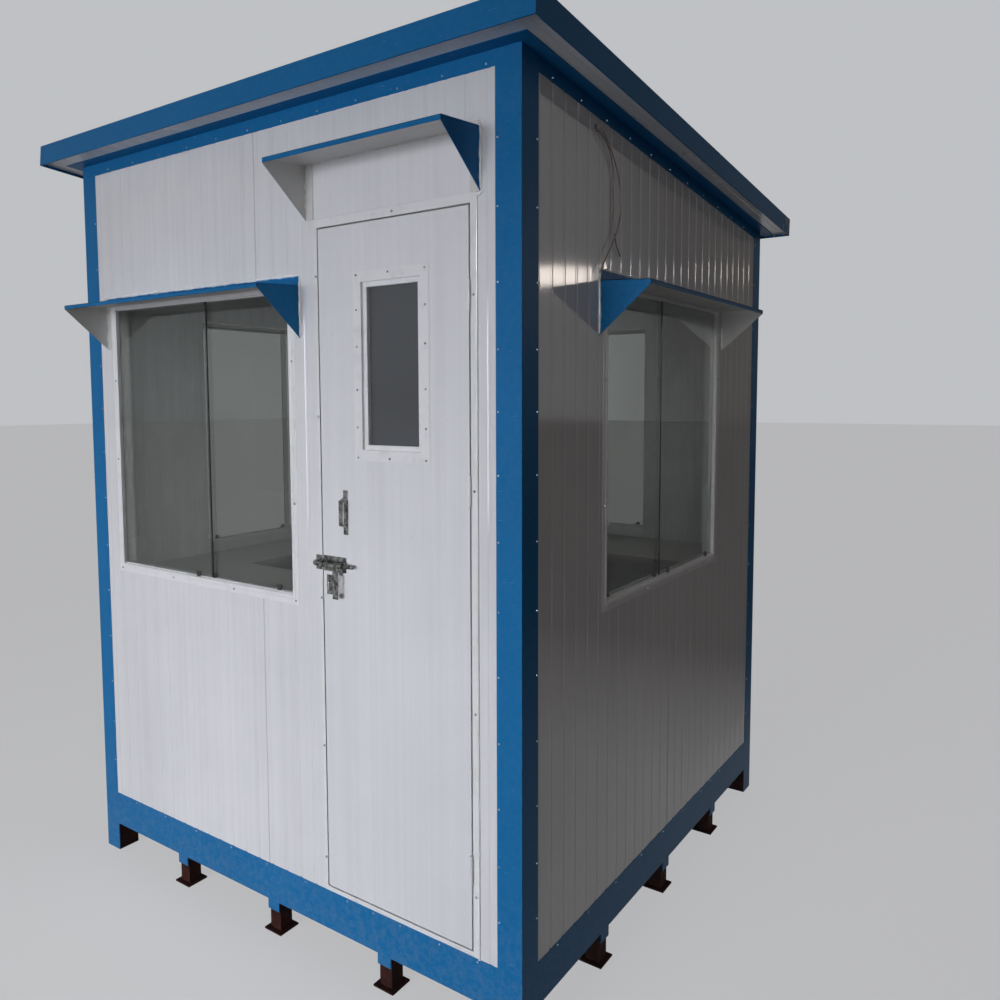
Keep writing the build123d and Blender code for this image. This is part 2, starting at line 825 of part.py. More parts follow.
def counters():
    """Shelf counter: the left arm runs the whole depth, and the front and back arms meet it."""
    z1 = floor_top + counter_height
    z0 = z1 - counter_thick
    joint = -x_inner + counter_left_depth
    found = {}
    found["counter_left"] = span(-x_inner, joint, -y_inner, y_inner, z0, z1)
    end = open_x0 - counter_front_end
    found["counter_front"] = span(joint, end, -y_inner, -y_inner + counter_front_depth, z0, z1)
    found["counter_back"] = span(joint, x_inner, y_inner - counter_back_depth, y_inner, z0, z1)
    return found


def wire(route):
    """A loose wire on the right wall, of straight runs joined by arcs as large as the runs allow."""
    points = [Vector(x_side + d, y_front + u, floor_top + w) for u, w, d in route]
    radii = []
    for a, b, c in zip(points, points[1:], points[2:]):
        run = min((b - a).length, (c - b).length)
        turn = (b - a).get_angle(c - b)
        radii.append(0.45 * run / math.tan(math.radians(turn) / 2))
    path = FilletPolyline(*points, radius=radii)
    start = Plane(origin=points[0], z_dir=points[1] - points[0])
    section = start * RegularPolygon(wire_radius, 6)
    solid = sweep(section, path)
    print("wire length", round(path.length), "tightest arc", round(min(radii), 1),
          "volume share", round(solid.volume / (section.area * path.length), 4))
    return solid


def build():
    """Every node of the booth by name."""
    nodes = {
        "corner_tubes": corner_tubes(),
        "legs": legs(),
        "base_rails": base_rails(),
        "floor_joists": joists(),
        "floor_board": span(-x_inner, x_inner, -y_inner, y_inner, floor_top - floor_thick, floor_top),
        "corner_posts": corner_posts(),
        "top_bands": top_bands(),
        "roof_panel": roof_panel(),
        "roof_trims": roof_trims(),
    }
    nodes.update(wall_cores())
    nodes.update(wall_skins())
    top = window_z + window_height + hood_above_window
    half = window_width / 2 + hood_past_window
    for name, middle in window_middles.items():
        nodes[name + "_window_frame"] = side(name) * window_frame(middle)
        nodes[name + "_window_glass"] = side(name) * window_panes(middle)
        sheet = hood(middle - half, middle + half, top, hood_fall, hood_cheek, hood_lip)
        nodes[name + "_window_hood"] = side(name) * sheet
    x0 = leaf_x0 - door_hood_past_left
    x1 = leaf_x1 + door_hood_past_right
    top = leaf_z + leaf_height + door_hood_above_leaf
    nodes["door_hood"] = side("front") * hood(x0, x1, top, door_hood_fall, door_hood_cheek, door_hood_lip)
    nodes["door_lintel_sheet"] = side("front") * lintel_panel(0)
    nodes.update(door_frame())
    nodes["door_leaf"] = door_leaf()
    nodes["door_light_frame"], nodes["door_light_glass"] = door_light()
    nodes["hinge_frame_side"], nodes["hinge_leaf_side"] = hinges()
    nodes["door_handle"] = door_handle()
    nodes["bolt_plate"], nodes["bolt_rod"], nodes["bolt_keeper"] = bolt_parts()
    nodes["bolt_hasp"] = bolt_hasp()
    nodes.update(counters())
    nodes["wire_a"] = wire(wire_a_route)
    nodes["wire_b"] = wire(wire_b_route)
    return nodes


parts = build()
os.makedirs("parts", exist_ok=True)
for node, shape in parts.items():
    export_step(shape, "parts/" + node + ".step")
print("hinge axis", round(axis_x, 3), round(axis_y, 3), "bolt", round(bolt_y, 3), round(bolt_z, 3))
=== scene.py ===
import math
import bpy
import numpy as np
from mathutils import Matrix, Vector


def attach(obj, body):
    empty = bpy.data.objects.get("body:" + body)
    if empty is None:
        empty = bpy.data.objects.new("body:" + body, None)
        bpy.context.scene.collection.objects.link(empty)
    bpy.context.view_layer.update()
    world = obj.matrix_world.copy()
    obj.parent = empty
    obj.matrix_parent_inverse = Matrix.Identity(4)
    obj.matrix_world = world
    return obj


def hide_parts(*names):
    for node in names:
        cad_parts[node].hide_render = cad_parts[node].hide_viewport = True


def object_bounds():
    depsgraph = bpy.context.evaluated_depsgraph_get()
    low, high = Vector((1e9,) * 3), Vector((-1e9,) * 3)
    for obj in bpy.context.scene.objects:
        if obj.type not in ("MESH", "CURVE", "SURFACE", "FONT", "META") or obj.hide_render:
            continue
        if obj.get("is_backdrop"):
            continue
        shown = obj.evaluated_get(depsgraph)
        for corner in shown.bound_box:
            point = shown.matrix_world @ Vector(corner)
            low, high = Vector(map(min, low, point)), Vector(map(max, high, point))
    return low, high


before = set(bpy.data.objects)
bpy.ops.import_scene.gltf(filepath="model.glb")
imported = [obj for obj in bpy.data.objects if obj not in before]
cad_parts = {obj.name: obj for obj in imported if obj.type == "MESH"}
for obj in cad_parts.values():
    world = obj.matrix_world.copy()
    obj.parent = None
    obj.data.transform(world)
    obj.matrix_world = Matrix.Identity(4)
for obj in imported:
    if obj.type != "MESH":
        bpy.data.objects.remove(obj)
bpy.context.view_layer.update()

# Camera at standing eye height, off the booth's front right corner, as the photograph was taken.
# Its lens and its slight roll were worked out from the booth's own edges.
eye = Vector((2.182, -2.811, 1.825))
heading, pitch, roll = math.radians(34.23), math.radians(-4.22), math.radians(0.14)
camera_data = bpy.data.cameras.new("photo_camera")
camera_data.sensor_width = 36.0
camera_data.lens = 29.905
camera_data.shift_y = -0.04
camera_data.clip_end = 200.0
camera = bpy.data.objects.new("photo_camera", camera_data)
bpy.context.scene.collection.objects.link(camera)
camera.location = eye
camera.rotation_mode = "XYZ"
camera.rotation_euler = (math.pi / 2 + pitch, roll, heading)
bpy.context.scene.camera = camera
bpy.context.scene.view_settings.view_transform = "Standard"


# Two loose wires: single-core copper in PVC insulation, one brown and one black, left hanging out of a
# hole high in the right wall for a lamp that is not fitted. Extruded PVC is smooth, with a dull shine.
def srgb(code):
    """Linear RGBA of an sRGB hex colour: each channel over 255, with the sRGB curve undone."""
    c = np.array([int(code[i:i + 2], 16) for i in (1, 3, 5)]) / 255
    linear = np.where(c <= 0.04045, c / 12.92, ((c + 0.055) / 1.055) ** 2.4)
    return (float(linear[0]), float(linear[1]), float(linear[2]), 1.0)


def add(tree, kind, inputs=None, **settings):
    """Adds one shader node with its settings, and gives each named or numbered input a link or a constant."""
    made = tree.nodes.new("ShaderNode" + kind)
    for key, value in settings.items():
        setattr(made, key, value)
    for key, value in (inputs or {}).items():
        if isinstance(value, bpy.types.NodeSocket):
            tree.links.new(value, made.inputs[key])
        else:
            made.inputs[key].default_value = value
    return made


def start_material(name):
    """An empty node material: gives it, its tree, its output node and its Object coordinates."""
    made = bpy.data.materials.new(name)
    made.use_nodes = True
    tree = made.node_tree
    tree.nodes.clear()
    output = add(tree, "OutputMaterial")
    place = add(tree, "TexCoord").outputs["Object"]
    return made, tree, output, place


def wire_pvc(name, code):
    """Extruded PVC: one colour that fades a little where dust holds, and a dull shine. A noise's scale is its
    cells in a metre, here and below: 60 gives patches of dust about 17 mm across."""
    made, tree, output, place = start_material(name)
    dust = add(tree, "TexNoise", {"Vector": place, "Scale": 60.0, "Detail": 3.0})
    share = add(tree, "MapRange", {"Value": dust.outputs["Fac"], "From Min": 0.45, "From Max": 0.75,
                                   "To Min": 0.0, "To Max": 0.35})
    colour = add(tree, "MixRGB", {"Fac": share.outputs[0], "Color1": srgb(code), "Color2": srgb("#9A948C")})
    body = add(tree, "BsdfPrincipled", {"Base Color": colour.outputs[0], "Roughness": 0.42, "IOR": 1.53})
    tree.links.new(body.outputs[0], output.inputs["Surface"])
    return made


def node_box(name):
    """Lowest and highest corner of a CAD node, to a tenth of a millimetre."""
    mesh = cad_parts[name].data
    corners = np.empty(3 * len(mesh.vertices))
    mesh.vertices.foreach_get("co", corners)
    corners = corners.reshape(-1, 3)
    return np.round(corners.min(axis=0), 4), np.round(corners.max(axis=0), 4)


corner_x, corner_y, eaves_z = node_box("corner_posts")[1]
foot_z = node_box("base_rails")[1][2]
wire_radius = 0.0018
wire_corner = np.array([corner_x, -corner_y, foot_z])
wire_routes = {
    "wire_a": ("#6E3B2C", 0.546, [
        (401, 2381, -15), (401, 2381, 1), (411, 2369, 13), (430, 2355, 17), (456, 2340, 14), (484, 2320, 12),
        (509, 2290, 12), (532, 2252, 12), (545, 2206, 12), (546, 2154, 12), (528, 2108, 12), (496, 2060, 12),
        (460, 2018, 12), (426, 1982, 12), (409, 1956, 12)]),
    "wire_b": ("#2A2527", 0.423, [
        (406, 2370, -15), (406, 2370, -3), (416, 2366, 5), (438, 2356, 6), (467, 2341, 5), (491, 2314, 5),
        (506, 2275, 5), (514, 2230, 5), (516, 2182, 5), (515, 2130, 5), (516, 2092, 5), (524, 2064, 5),
        (540, 2041, 5), (559, 2024, 5)]),
}
for wire_name, (wire_colour, wire_length, wire_route) in wire_routes.items():
    wire_points = np.array(wire_route, float)[:, [2, 0, 1]] / 1000 + wire_corner
    curve = bpy.data.curves.new(wire_name + "_pvc", "CURVE")
    curve.dimensions = "3D"
    curve.resolution_u = 8
    curve.bevel_depth = wire_radius
    curve.bevel_resolution = 3
    curve.use_fill_caps = True
    spline = curve.splines.new("NURBS")
    spline.points.add(len(wire_points) - 1)
    spline.points.foreach_set("co", np.c_[wire_points, np.ones(len(wire_points))].ravel())
    spline.order_u = 3
    spline.use_endpoint_u = True
    curve.materials.append(wire_pvc("pvc_" + wire_name, wire_colour))
    wire = bpy.data.objects.new(wire_name + "_pvc", curve)
    bpy.context.scene.collection.objects.link(wire)
    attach(wire, "booth")
    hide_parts(wire_name)


# The studio: a plain pale floor under a pale backdrop. A broad soft lamp stands low in front. A strip and a
# pane, high up and far off, show only in glossy coats, and so does a dim end of the studio to the right.
def seen_directly(tree):
    """One where a camera, glossy or transmission ray looks, and nought for the rays that carry light."""
    rays = add(tree, "LightPath")
    either = add(tree, "Math", {0: rays.outputs["Is Camera Ray"], 1: rays.outputs["Is Glossy Ray"]},
                 operation="MAXIMUM")
    both = add(tree, "Math", {0: either.outputs[0], 1: rays.outputs["Is Transmission Ray"]},
               operation="MAXIMUM")
    return both.outputs[0]


def dim_end(tree, right, far):
    """Nought to one, for glossy rays alone: the studio's dim end, which the right wall and its window mirror.
    Two values from nought to one say how far to the right and how far off a point is."""
    rays = add(tree, "LightPath")
    side = add(tree, "Math", {0: rays.outputs["Is Glossy Ray"], 1: right.outputs[0]}, operation="MULTIPLY")
    both = add(tree, "Math", {0: side.outputs[0], 1: far.outputs[0]}, operation="MULTIPLY")
    return both.outputs[0]


floor_half = 60.0
floor_mesh = bpy.data.meshes.new("studio_floor")
floor_corners = [(x * floor_half, y * floor_half, 0) for x, y in ((-1, -1), (1, -1), (1, 1), (-1, 1))]
floor_mesh.from_pydata(floor_corners, [], [(0, 1, 2, 3)])
floor = bpy.data.objects.new("studio_floor", floor_mesh)
bpy.context.scene.collection.objects.link(floor)
floor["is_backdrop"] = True
studio_paint, tree, output, place = start_material("matt_studio_paint")
seen = seen_directly(tree)
spot = add(tree, "SeparateXYZ", {0: place})
right = add(tree, "MapRange", {"Value": spot.outputs["X"], "From Min": 1.15, "From Max": 1.35})
far = add(tree, "MapRange", {"Value": spot.outputs["Y"], "From Min": 0.8, "From Max": 2.9})
level = add(tree, "MapRange", {"Value": dim_end(tree, right, far), "To Min": 0.46, "To Max": 0.04})
glow = add(tree, "Math", {0: seen, 1: level.outputs[0]}, operation="MULTIPLY")
floor_light = add(tree, "Emission", {"Color": srgb("#FBFCFF"), "Strength": glow.outputs[0]})
floor_coat = add(tree, "BsdfDiffuse", {"Color": srgb("#8E8C8A")})
floor_both = add(tree, "AddShader", {0: floor_light.outputs[0], 1: floor_coat.outputs[0]})
tree.links.new(floor_both.outputs[0], output.inputs["Surface"])
floor_mesh.materials.append(studio_paint)

world = bpy.data.worlds.new("studio")
bpy.context.scene.world = world
world.use_nodes = True
tree = world.node_tree
tree.nodes.clear()
output = add(tree, "OutputWorld")
air = add(tree, "MixRGB", {"Fac": seen_directly(tree), "Color1": srgb("#5B5857"), "Color2": srgb("#BFC1C4")})
look = add(tree, "TexCoord")
toward = add(tree, "SeparateXYZ", {0: look.outputs["Generated"]})
right = add(tree, "MapRange", {"Value": toward.outputs["X"], "From Min": 0.0, "From Max": 0.12})
far = add(tree, "MapRange", {"Value": toward.outputs["X"], "From Min": 0.50, "From Max": 0.38})
ends = add(tree, "MixRGB", {"Fac": dim_end(tree, right, far), "Color1": air.outputs[0],
                            "Color2": srgb("#5F5C59")})
sky = add(tree, "Background", {"Color": ends.outputs[0], "Strength": 1.0})
tree.links.new(sky.outputs[0], output.inputs["Surface"])


def soft_lamp(name, place_at, aim, width, height, power, tint, spread):
    """A rectangular soft lamp that faces a point, with its light kept within a spread in degrees."""
    data = bpy.data.lights.new(name, "AREA")
    data.shape = "RECTANGLE"
    data.size = width
    data.size_y = height
    data.energy = power
    data.color = srgb(tint)[:3]
    data.spread = math.radians(spread)
    lamp = bpy.data.objects.new(name, data)
    bpy.context.scene.collection.objects.link(lamp)
    lamp.location = place_at
    lamp.rotation_euler = (Vector(aim) - Vector(place_at)).to_track_quat("-Z", "Y").to_euler()
    return lamp


soft_lamp("low_front_softbox", (-0.6, -8.4, 1.6), (-0.1, -1.0, 0.4), 4.6, 2.6, 68.0, "#F3F6FF", 64.0)
strip = soft_lamp("high_strip", (10.2, 9.0, 4.15), (1.0, -0.3, 2.3), 7.5, 0.36, 80.0, "#FFF1E6", 180.0)
strip.visible_diffuse = False
glint = soft_lamp("high_front_pane", (8.0, -12.0, 4.5), (0.87, -1.0, 2.2), 4.0, 1.6, 1700.0, "#FFFFFF", 180.0)
glint.visible_diffuse = False


# The base: square steel tubes for the corners and the short legs, joists and foot plates, welded and brushed
# with red oxide primer. The primer dries dead matt and dark, and weld scale and rust show through it.
def dress(material, *nodes):
    """Gives CAD nodes a material."""
    for node in nodes:
        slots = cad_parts[node].data.materials
        slots.clear()
        slots.append(material)


def red_oxide_primer():
    """Dark iron-red primer, in blotches of about 45 mm where it lies thin over scale, with 7 mm flecks of
    rust and floor dust on it."""
    made, tree, output, place = start_material("red_oxide_primer")
    blotch = add(tree, "TexNoise", {"Vector": place, "Scale": 22.0, "Detail": 5.0, "Roughness": 0.6})
    thin = add(tree, "MapRange", {"Value": blotch.outputs["Fac"], "From Min": 0.42, "From Max": 0.66})
    base = add(tree, "MixRGB", {"Fac": thin.outputs[0], "Color1": srgb("#2C1715"), "Color2": srgb("#43231D")})
    speck = add(tree, "TexNoise", {"Vector": place, "Scale": 140.0, "Detail": 4.0, "Roughness": 0.7})
    scale = add(tree, "MapRange", {"Value": speck.outputs["Fac"], "From Min": 0.60, "From Max": 0.70,
                                   "To Max": 0.6})
    colour = add(tree, "MixRGB", {"Fac": scale.outputs[0], "Color1": base.outputs[0],
                                  "Color2": srgb("#2C1F1D")})
    bump = add(tree, "Bump", {"Height": speck.outputs["Fac"], "Strength": 0.35, "Distance": 0.0006})
    body = add(tree, "BsdfPrincipled", {"Base Color": colour.outputs[0], "Roughness": 0.85, "IOR": 1.5,
                                        "Specular IOR Level": 0.1, "Normal": bump.outputs[0]})
    tree.links.new(body.outputs[0], output.inputs["Surface"])
    return made


dress(red_oxide_primer(), "corner_tubes", "legs", "floor_joists")


# Rails, corner posts, eaves angles and roof trims: folded galvanised sheet sprayed with blue enamel. Enamel
# has a soft gloss, a fine orange peel, and a film of dust that settles on low faces.
rubbed_corner = (1.178, 1.115, 2.615)


def blue_enamel():
    """Sprayed blue enamel: even colour, a little paler where dust lies in 18 mm patches, scuffs 40 mm long and
    5 mm high, and orange peel of 2.4 mm, coarser than the real peel so that it shows. At the roof's back right
    corner it is rubbed down to the zinc and the old dust, in a ragged patch."""
    made, tree, output, place = start_material("sprayed_blue_enamel")
    cloud = add(tree, "TexNoise", {"Vector": place, "Scale": 2.4, "Detail": 4.0, "Roughness": 0.55})
    tone = add(tree, "MixRGB", {"Fac": cloud.outputs["Fac"], "Color1": srgb("#196A9F"),
                                "Color2": srgb("#1E74AE")})
    axes = add(tree, "SeparateXYZ", {0: place})
    low = add(tree, "MapRange", {"Value": axes.outputs["Z"], "From Min": 0.0, "From Max": 0.5, "To Min": 0.32,
                                 "To Max": 0.05})
    grit = add(tree, "TexNoise", {"Vector": place, "Scale": 55.0, "Detail": 6.0, "Roughness": 0.7})
    lies = add(tree, "MapRange", {"Value": grit.outputs["Fac"], "From Min": 0.42, "From Max": 0.72})
    dusty = add(tree, "Math", {0: low.outputs[0], 1: lies.outputs[0]}, operation="MULTIPLY")
    dusted = add(tree, "MixRGB", {"Fac": dusty.outputs[0], "Color1": tone.outputs[0],
                                  "Color2": srgb("#8E9AA6")})
    stretch = add(tree, "Mapping", {"Vector": place, "Scale": (9.0, 9.0, 70.0)})
    scuff = add(tree, "TexNoise", {"Vector": stretch.outputs[0], "Scale": 3.0, "Detail": 2.0})
    mark = add(tree, "MapRange", {"Value": scuff.outputs["Fac"], "From Min": 0.70, "From Max": 0.74,
                                  "To Max": 0.22})
    scuffed = add(tree, "MixRGB", {"Fac": mark.outputs[0], "Color1": dusted.outputs[0],
                                   "Color2": srgb("#7FA6CC")})
    away = add(tree, "VectorMath", {0: place, 1: rubbed_corner}, operation="DISTANCE")
    ragged = add(tree, "TexNoise", {"Vector": place, "Scale": 45.0, "Detail": 4.0, "Roughness": 0.7})
    reach = add(tree, "Math", {0: away.outputs["Value"], 1: ragged.outputs["Fac"]}, operation="ADD")
    bare = add(tree, "MapRange", {"Value": reach.outputs[0], "From Min": 0.545, "From Max": 0.565,
                                  "To Min": 0.85, "To Max": 0.0})
    colour = add(tree, "MixRGB", {"Fac": bare.outputs[0], "Color1": scuffed.outputs[0],
                                  "Color2": srgb("#B9B1A6")})
    gloss = add(tree, "MapRange", {"Value": grit.outputs["Fac"], "From Min": 0.3, "From Max": 0.7,
                                   "To Min": 0.30, "To Max": 0.44})
    fold = add(tree, "Bevel", {"Radius": 0.002}, samples=4)
    wave = add(tree, "TexNoise", {"Vector": place, "Scale": 5.0, "Detail": 1.0})
    dent = add(tree, "Bump", {"Height": wave.outputs["Fac"], "Strength": 0.25, "Distance": 0.002,
                              "Normal": fold.outputs[0]})
    peel = add(tree, "TexNoise", {"Vector": place, "Scale": 420.0, "Detail": 1.0})
    bump = add(tree, "Bump", {"Height": peel.outputs["Fac"], "Strength": 0.05, "Distance": 0.0004,
                              "Normal": dent.outputs[0]})
    body = add(tree, "BsdfPrincipled", {"Base Color": colour.outputs[0], "Roughness": gloss.outputs[0],
                                        "IOR": 1.5, "Specular IOR Level": 0.06, "Normal": bump.outputs[0]})
    tree.links.new(body.outputs[0], output.inputs["Surface"])
    return made


enamel = blue_enamel()
dress(enamel, "base_rails", "corner_posts", "top_bands", "roof_trims")


# The floor is a cement board, trodden grey-brown, and the counters are laminated board, pale and even.
# Board shows flecks at a few millimetres, and a laminate is smooth with a low shine.
def flecked_board(name, pale, dark, fleck_mm, rough):
    """Pressed board: two close tones in flecks of a given size, over a slow drift of tone."""
    made, tree, output, place = start_material(name)
    fleck = add(tree, "TexNoise", {"Vector": place, "Scale": 1000.0 / fleck_mm, "Detail": 4.0,
                                   "Roughness": 0.65})
    drift = add(tree, "TexNoise", {"Vector": place, "Scale": 2.0, "Detail": 3.0})
    both = add(tree, "MixRGB", {"Fac": 0.5, "Color1": fleck.outputs["Fac"], "Color2": drift.outputs["Fac"]})
    share = add(tree, "MapRange", {"Value": both.outputs[0], "From Min": 0.35, "From Max": 0.65})
    colour = add(tree, "MixRGB", {"Fac": share.outputs[0], "Color1": srgb(pale), "Color2": srgb(dark)})
    bump = add(tree, "Bump", {"Height": fleck.outputs["Fac"], "Strength": 0.15, "Distance": 0.0003})
    body = add(tree, "BsdfPrincipled", {"Base Color": colour.outputs[0], "Roughness": rough, "IOR": 1.5,
                                        "Normal": bump.outputs[0]})
    tree.links.new(body.outputs[0], output.inputs["Surface"])
    return made


dress(flecked_board("cement_board", "#8C8378", "#6E665C", 8.0, 0.8), "floor_board")
dress(flecked_board("laminated_board", "#CFCDC8", "#BEBBB5", 25.0, 0.35), "counter_left", "counter_front",
      "counter_back")


# Wall and roof panels: 50 mm foam between two sheets of galvanised steel, coil coated in off-white polyester.
# The coat is even with a soft gloss, and thin sheet over foam is never quite flat, so reflections waver.
rib_pitch = 0.070


def coil_coat(name, code, gloss_low, gloss_high, inner_ribs=None):
    """Coil-coated steel: off-white with drifts of dust over 0.6 m, roll lines 18 mm apart, upright wipe marks
    70 mm wide and 1.1 m tall, 8 mm specks, a soft gloss, and shallow waves of 0.3 m in the sheet. Ribs, where
    asked, are a trapezoid wave along one axis as bump."""
    made, tree, output, place = start_material(name)
    cloud = add(tree, "TexNoise", {"Vector": place, "Scale": 1.6, "Detail": 5.0, "Roughness": 0.6})
    dull = add(tree, "MapRange", {"Value": cloud.outputs["Fac"], "From Min": 0.35, "From Max": 0.70,
                                  "To Max": 0.20})
    base = add(tree, "MixRGB", {"Fac": dull.outputs[0], "Color1": srgb(code), "Color2": srgb("#B4B6BB")})
    roll = add(tree, "Mapping", {"Vector": place, "Scale": (55.0, 55.0, 0.12)})
    line = add(tree, "TexNoise", {"Vector": roll.outputs[0], "Scale": 1.0, "Detail": 2.0, "Roughness": 0.5})
    lined = add(tree, "MapRange", {"Value": line.outputs["Fac"], "From Min": 0.40, "From Max": 0.65,
                                   "To Max": 0.055})
    tone = add(tree, "MixRGB", {"Fac": lined.outputs[0], "Color1": base.outputs[0],
                                "Color2": srgb("#9C9C9E")})
    stretch = add(tree, "Mapping", {"Vector": place, "Scale": (14.0, 14.0, 0.9)})
    wipe = add(tree, "TexNoise", {"Vector": stretch.outputs[0], "Scale": 1.0, "Detail": 4.0, "Roughness": 0.6})
    wiped = add(tree, "MapRange", {"Value": wipe.outputs["Fac"], "From Min": 0.52, "From Max": 0.75,
                                   "To Max": 0.09})
    washed = add(tree, "MixRGB", {"Fac": wiped.outputs[0], "Color1": tone.outputs[0],
                                  "Color2": srgb("#A8A5A1")})
    speck = add(tree, "TexNoise", {"Vector": place, "Scale": 130.0, "Detail": 3.0})
    dirt = add(tree, "MapRange", {"Value": speck.outputs["Fac"], "From Min": 0.70, "From Max": 0.76,
                                  "To Max": 0.35})
    colour = add(tree, "MixRGB", {"Fac": dirt.outputs[0], "Color1": washed.outputs[0],
                                  "Color2": srgb("#8B857C")})
    gloss = add(tree, "MapRange", {"Value": cloud.outputs["Fac"], "From Min": 0.3, "From Max": 0.7,
                                   "To Min": gloss_low, "To Max": gloss_high})
    wave = add(tree, "TexNoise", {"Vector": place, "Scale": 3.2, "Detail": 1.0})
    bump = add(tree, "Bump", {"Height": wave.outputs["Fac"], "Strength": 0.5, "Distance": 0.0016})
    if inner_ribs is not None:
        axes = add(tree, "SeparateXYZ", {0: place})
        along = add(tree, "Math", {0: axes.outputs[inner_ribs], 1: math.tau / rib_pitch}, operation="MULTIPLY")
        swing = add(tree, "Math", {0: along.outputs[0]}, operation="SINE")
        step = add(tree, "MapRange", {"Value": swing.outputs[0], "From Min": -0.35, "From Max": 0.0})
        bump = add(tree, "Bump", {"Height": step.outputs[0], "Strength": 1.0, "Distance": 0.0012,
                                  "Normal": bump.outputs[0]})
    body = add(tree, "BsdfPrincipled", {"Base Color": colour.outputs[0], "Roughness": gloss.outputs[0],
                                        "IOR": 1.5, "Normal": bump.outputs[0]})
    tree.links.new(body.outputs[0], output.inputs["Surface"])
    return made


lining_x = coil_coat("coil_coated_lining_across", "#E3E4E6", 0.22, 0.36, "X")
lining_y = coil_coat("coil_coated_lining_along", "#E3E4E6", 0.22, 0.36, "Y")
dress(lining_x, "front_wall_left", "front_wall_right", "front_wall_over_door", "back_wall", "roof_panel")
dress(lining_y, "left_wall", "right_wall")


# Outer wall sheets: the same coated steel, roll formed with shallow ribs every 70 mm. A soft bend runs down
# both sides of each crown, and catches the light as a fine upright line. Sheets meet in a narrow groove, which
# is painted darker as painted shade.
roof_slope = 0.079
rib_crown, rib_bend, rib_rise, crown_depth = 0.058, 0.0040, 0.0012, 0.0010
joint_groove, joint_half, joint_shade_half = 0.0018, 0.0016, 0.0012
sheet_edge, sheet_thick = 0.082, 0.0007
eaves_leg = 0.045
hole_points = 32
window_flange = 0.026
window_side = {}
for side_name, axis, turn in (("front", 0, 1), ("right", 1, 1), ("back", 0, -1), ("left", 1, -1)):
    low, high = node_box(side_name + "_window_frame")
    window_side[side_name] = round(turn * (low[axis] + high[axis]) / 2, 4)
    window_low, window_high = round(low[2] + window_flange, 4), round(high[2] - window_flange, 4)
    window_half = round((high[axis] - low[axis]) / 2 - window_flange, 4)
half_length = {"front": corner_x, "right": corner_y, "back": corner_x, "left": corner_y}


def on_wall(name, u, depth, z):
    """Points of a wall's own frame as world points: u to the right seen from outside, depth inwards."""
    u, depth, z = np.broadcast_arrays(np.asarray(u, float), np.asarray(depth, float), np.asarray(z, float))
    places = {
        "front": (u, depth - corner_y, z),
        "right": (corner_x - depth, u, z),
        "back": (-u, corner_y - depth, z),
        "left": (depth - corner_x, -u, z),
    }
    return np.stack(places[name], axis=-1)


def wall_top(name, u, drop):
    """Height of the wall at u: the front eaves' height less the roof's slope times the way back."""
    back = on_wall(name, u, 0.0, 0.0)[..., 1] + corner_y
    return eaves_z - roof_slope * back - drop


def put(name, points, faces, materials, smooth=False, picks=None):
    """Makes a mesh piece of points and faces, with its materials and, where given, a material per face."""
    mesh = bpy.data.meshes.new(name)
    mesh.from_pydata(np.asarray(points, float).reshape(-1, 3).tolist(), [],
                     [list(map(int, face)) for face in faces])
    for material in materials:
        mesh.materials.append(material)
    if picks is not None:
        mesh.polygons.foreach_set("material_index", np.asarray(picks, np.int32))
    mesh.polygons.foreach_set("use_smooth", np.full(len(mesh.polygons), smooth))
    piece = bpy.data.objects.new(name, mesh)
    bpy.context.scene.collection.objects.link(piece)
    return piece


def grid_faces(rows, columns, first=0):
    """Quads of a grid of rows by columns whose points are numbered along each row in turn."""
    corner = (np.arange(rows - 1)[:, None] * columns + np.arange(columns - 1)).ravel() + first
    return np.stack([corner, corner + 1, corner + columns + 1, corner + columns], axis=1)


def rib_depth(u, joints):
    """Depth of the sheet at u: crown or valley, with a smooth step of rib_bend between, and a groove with
    the outline of a bell at each joint."""
    off = np.abs((u / rib_pitch) % 1.0 - 0.5) * rib_pitch
    t = np.clip((off - rib_crown / 2 + rib_bend / 2) / rib_bend, 0, 1)
    depth = crown_depth + rib_rise * t * t * (3 - 2 * t)
    for joint in joints:
        depth = np.maximum(depth, crown_depth + joint_groove * np.exp(-((u - joint) / joint_half) ** 2))
    return depth


def holed_patch(side_name, u0, u1, z0, z1, radius, joints):
    """A patch with a round hole in its middle: points on the hole's circle, each joined to the point where
    its ray from the middle meets the patch's edge, which is the half width over the larger of |cos|, |sin|."""
    turn = np.linspace(0, math.tau, hole_points + 1)[:-1]
    half = (u1 - u0) / 2
    rim = half / np.maximum(np.abs(np.cos(turn)), np.abs(np.sin(turn)))
    reach = np.stack([np.full_like(turn, radius), rim])
    u = (u0 + u1) / 2 + reach * np.cos(turn)
    z = (z0 + z1) / 2 + reach * np.sin(turn)
    return on_wall(side_name, u, rib_depth(u, joints), z).reshape(-1, 3)


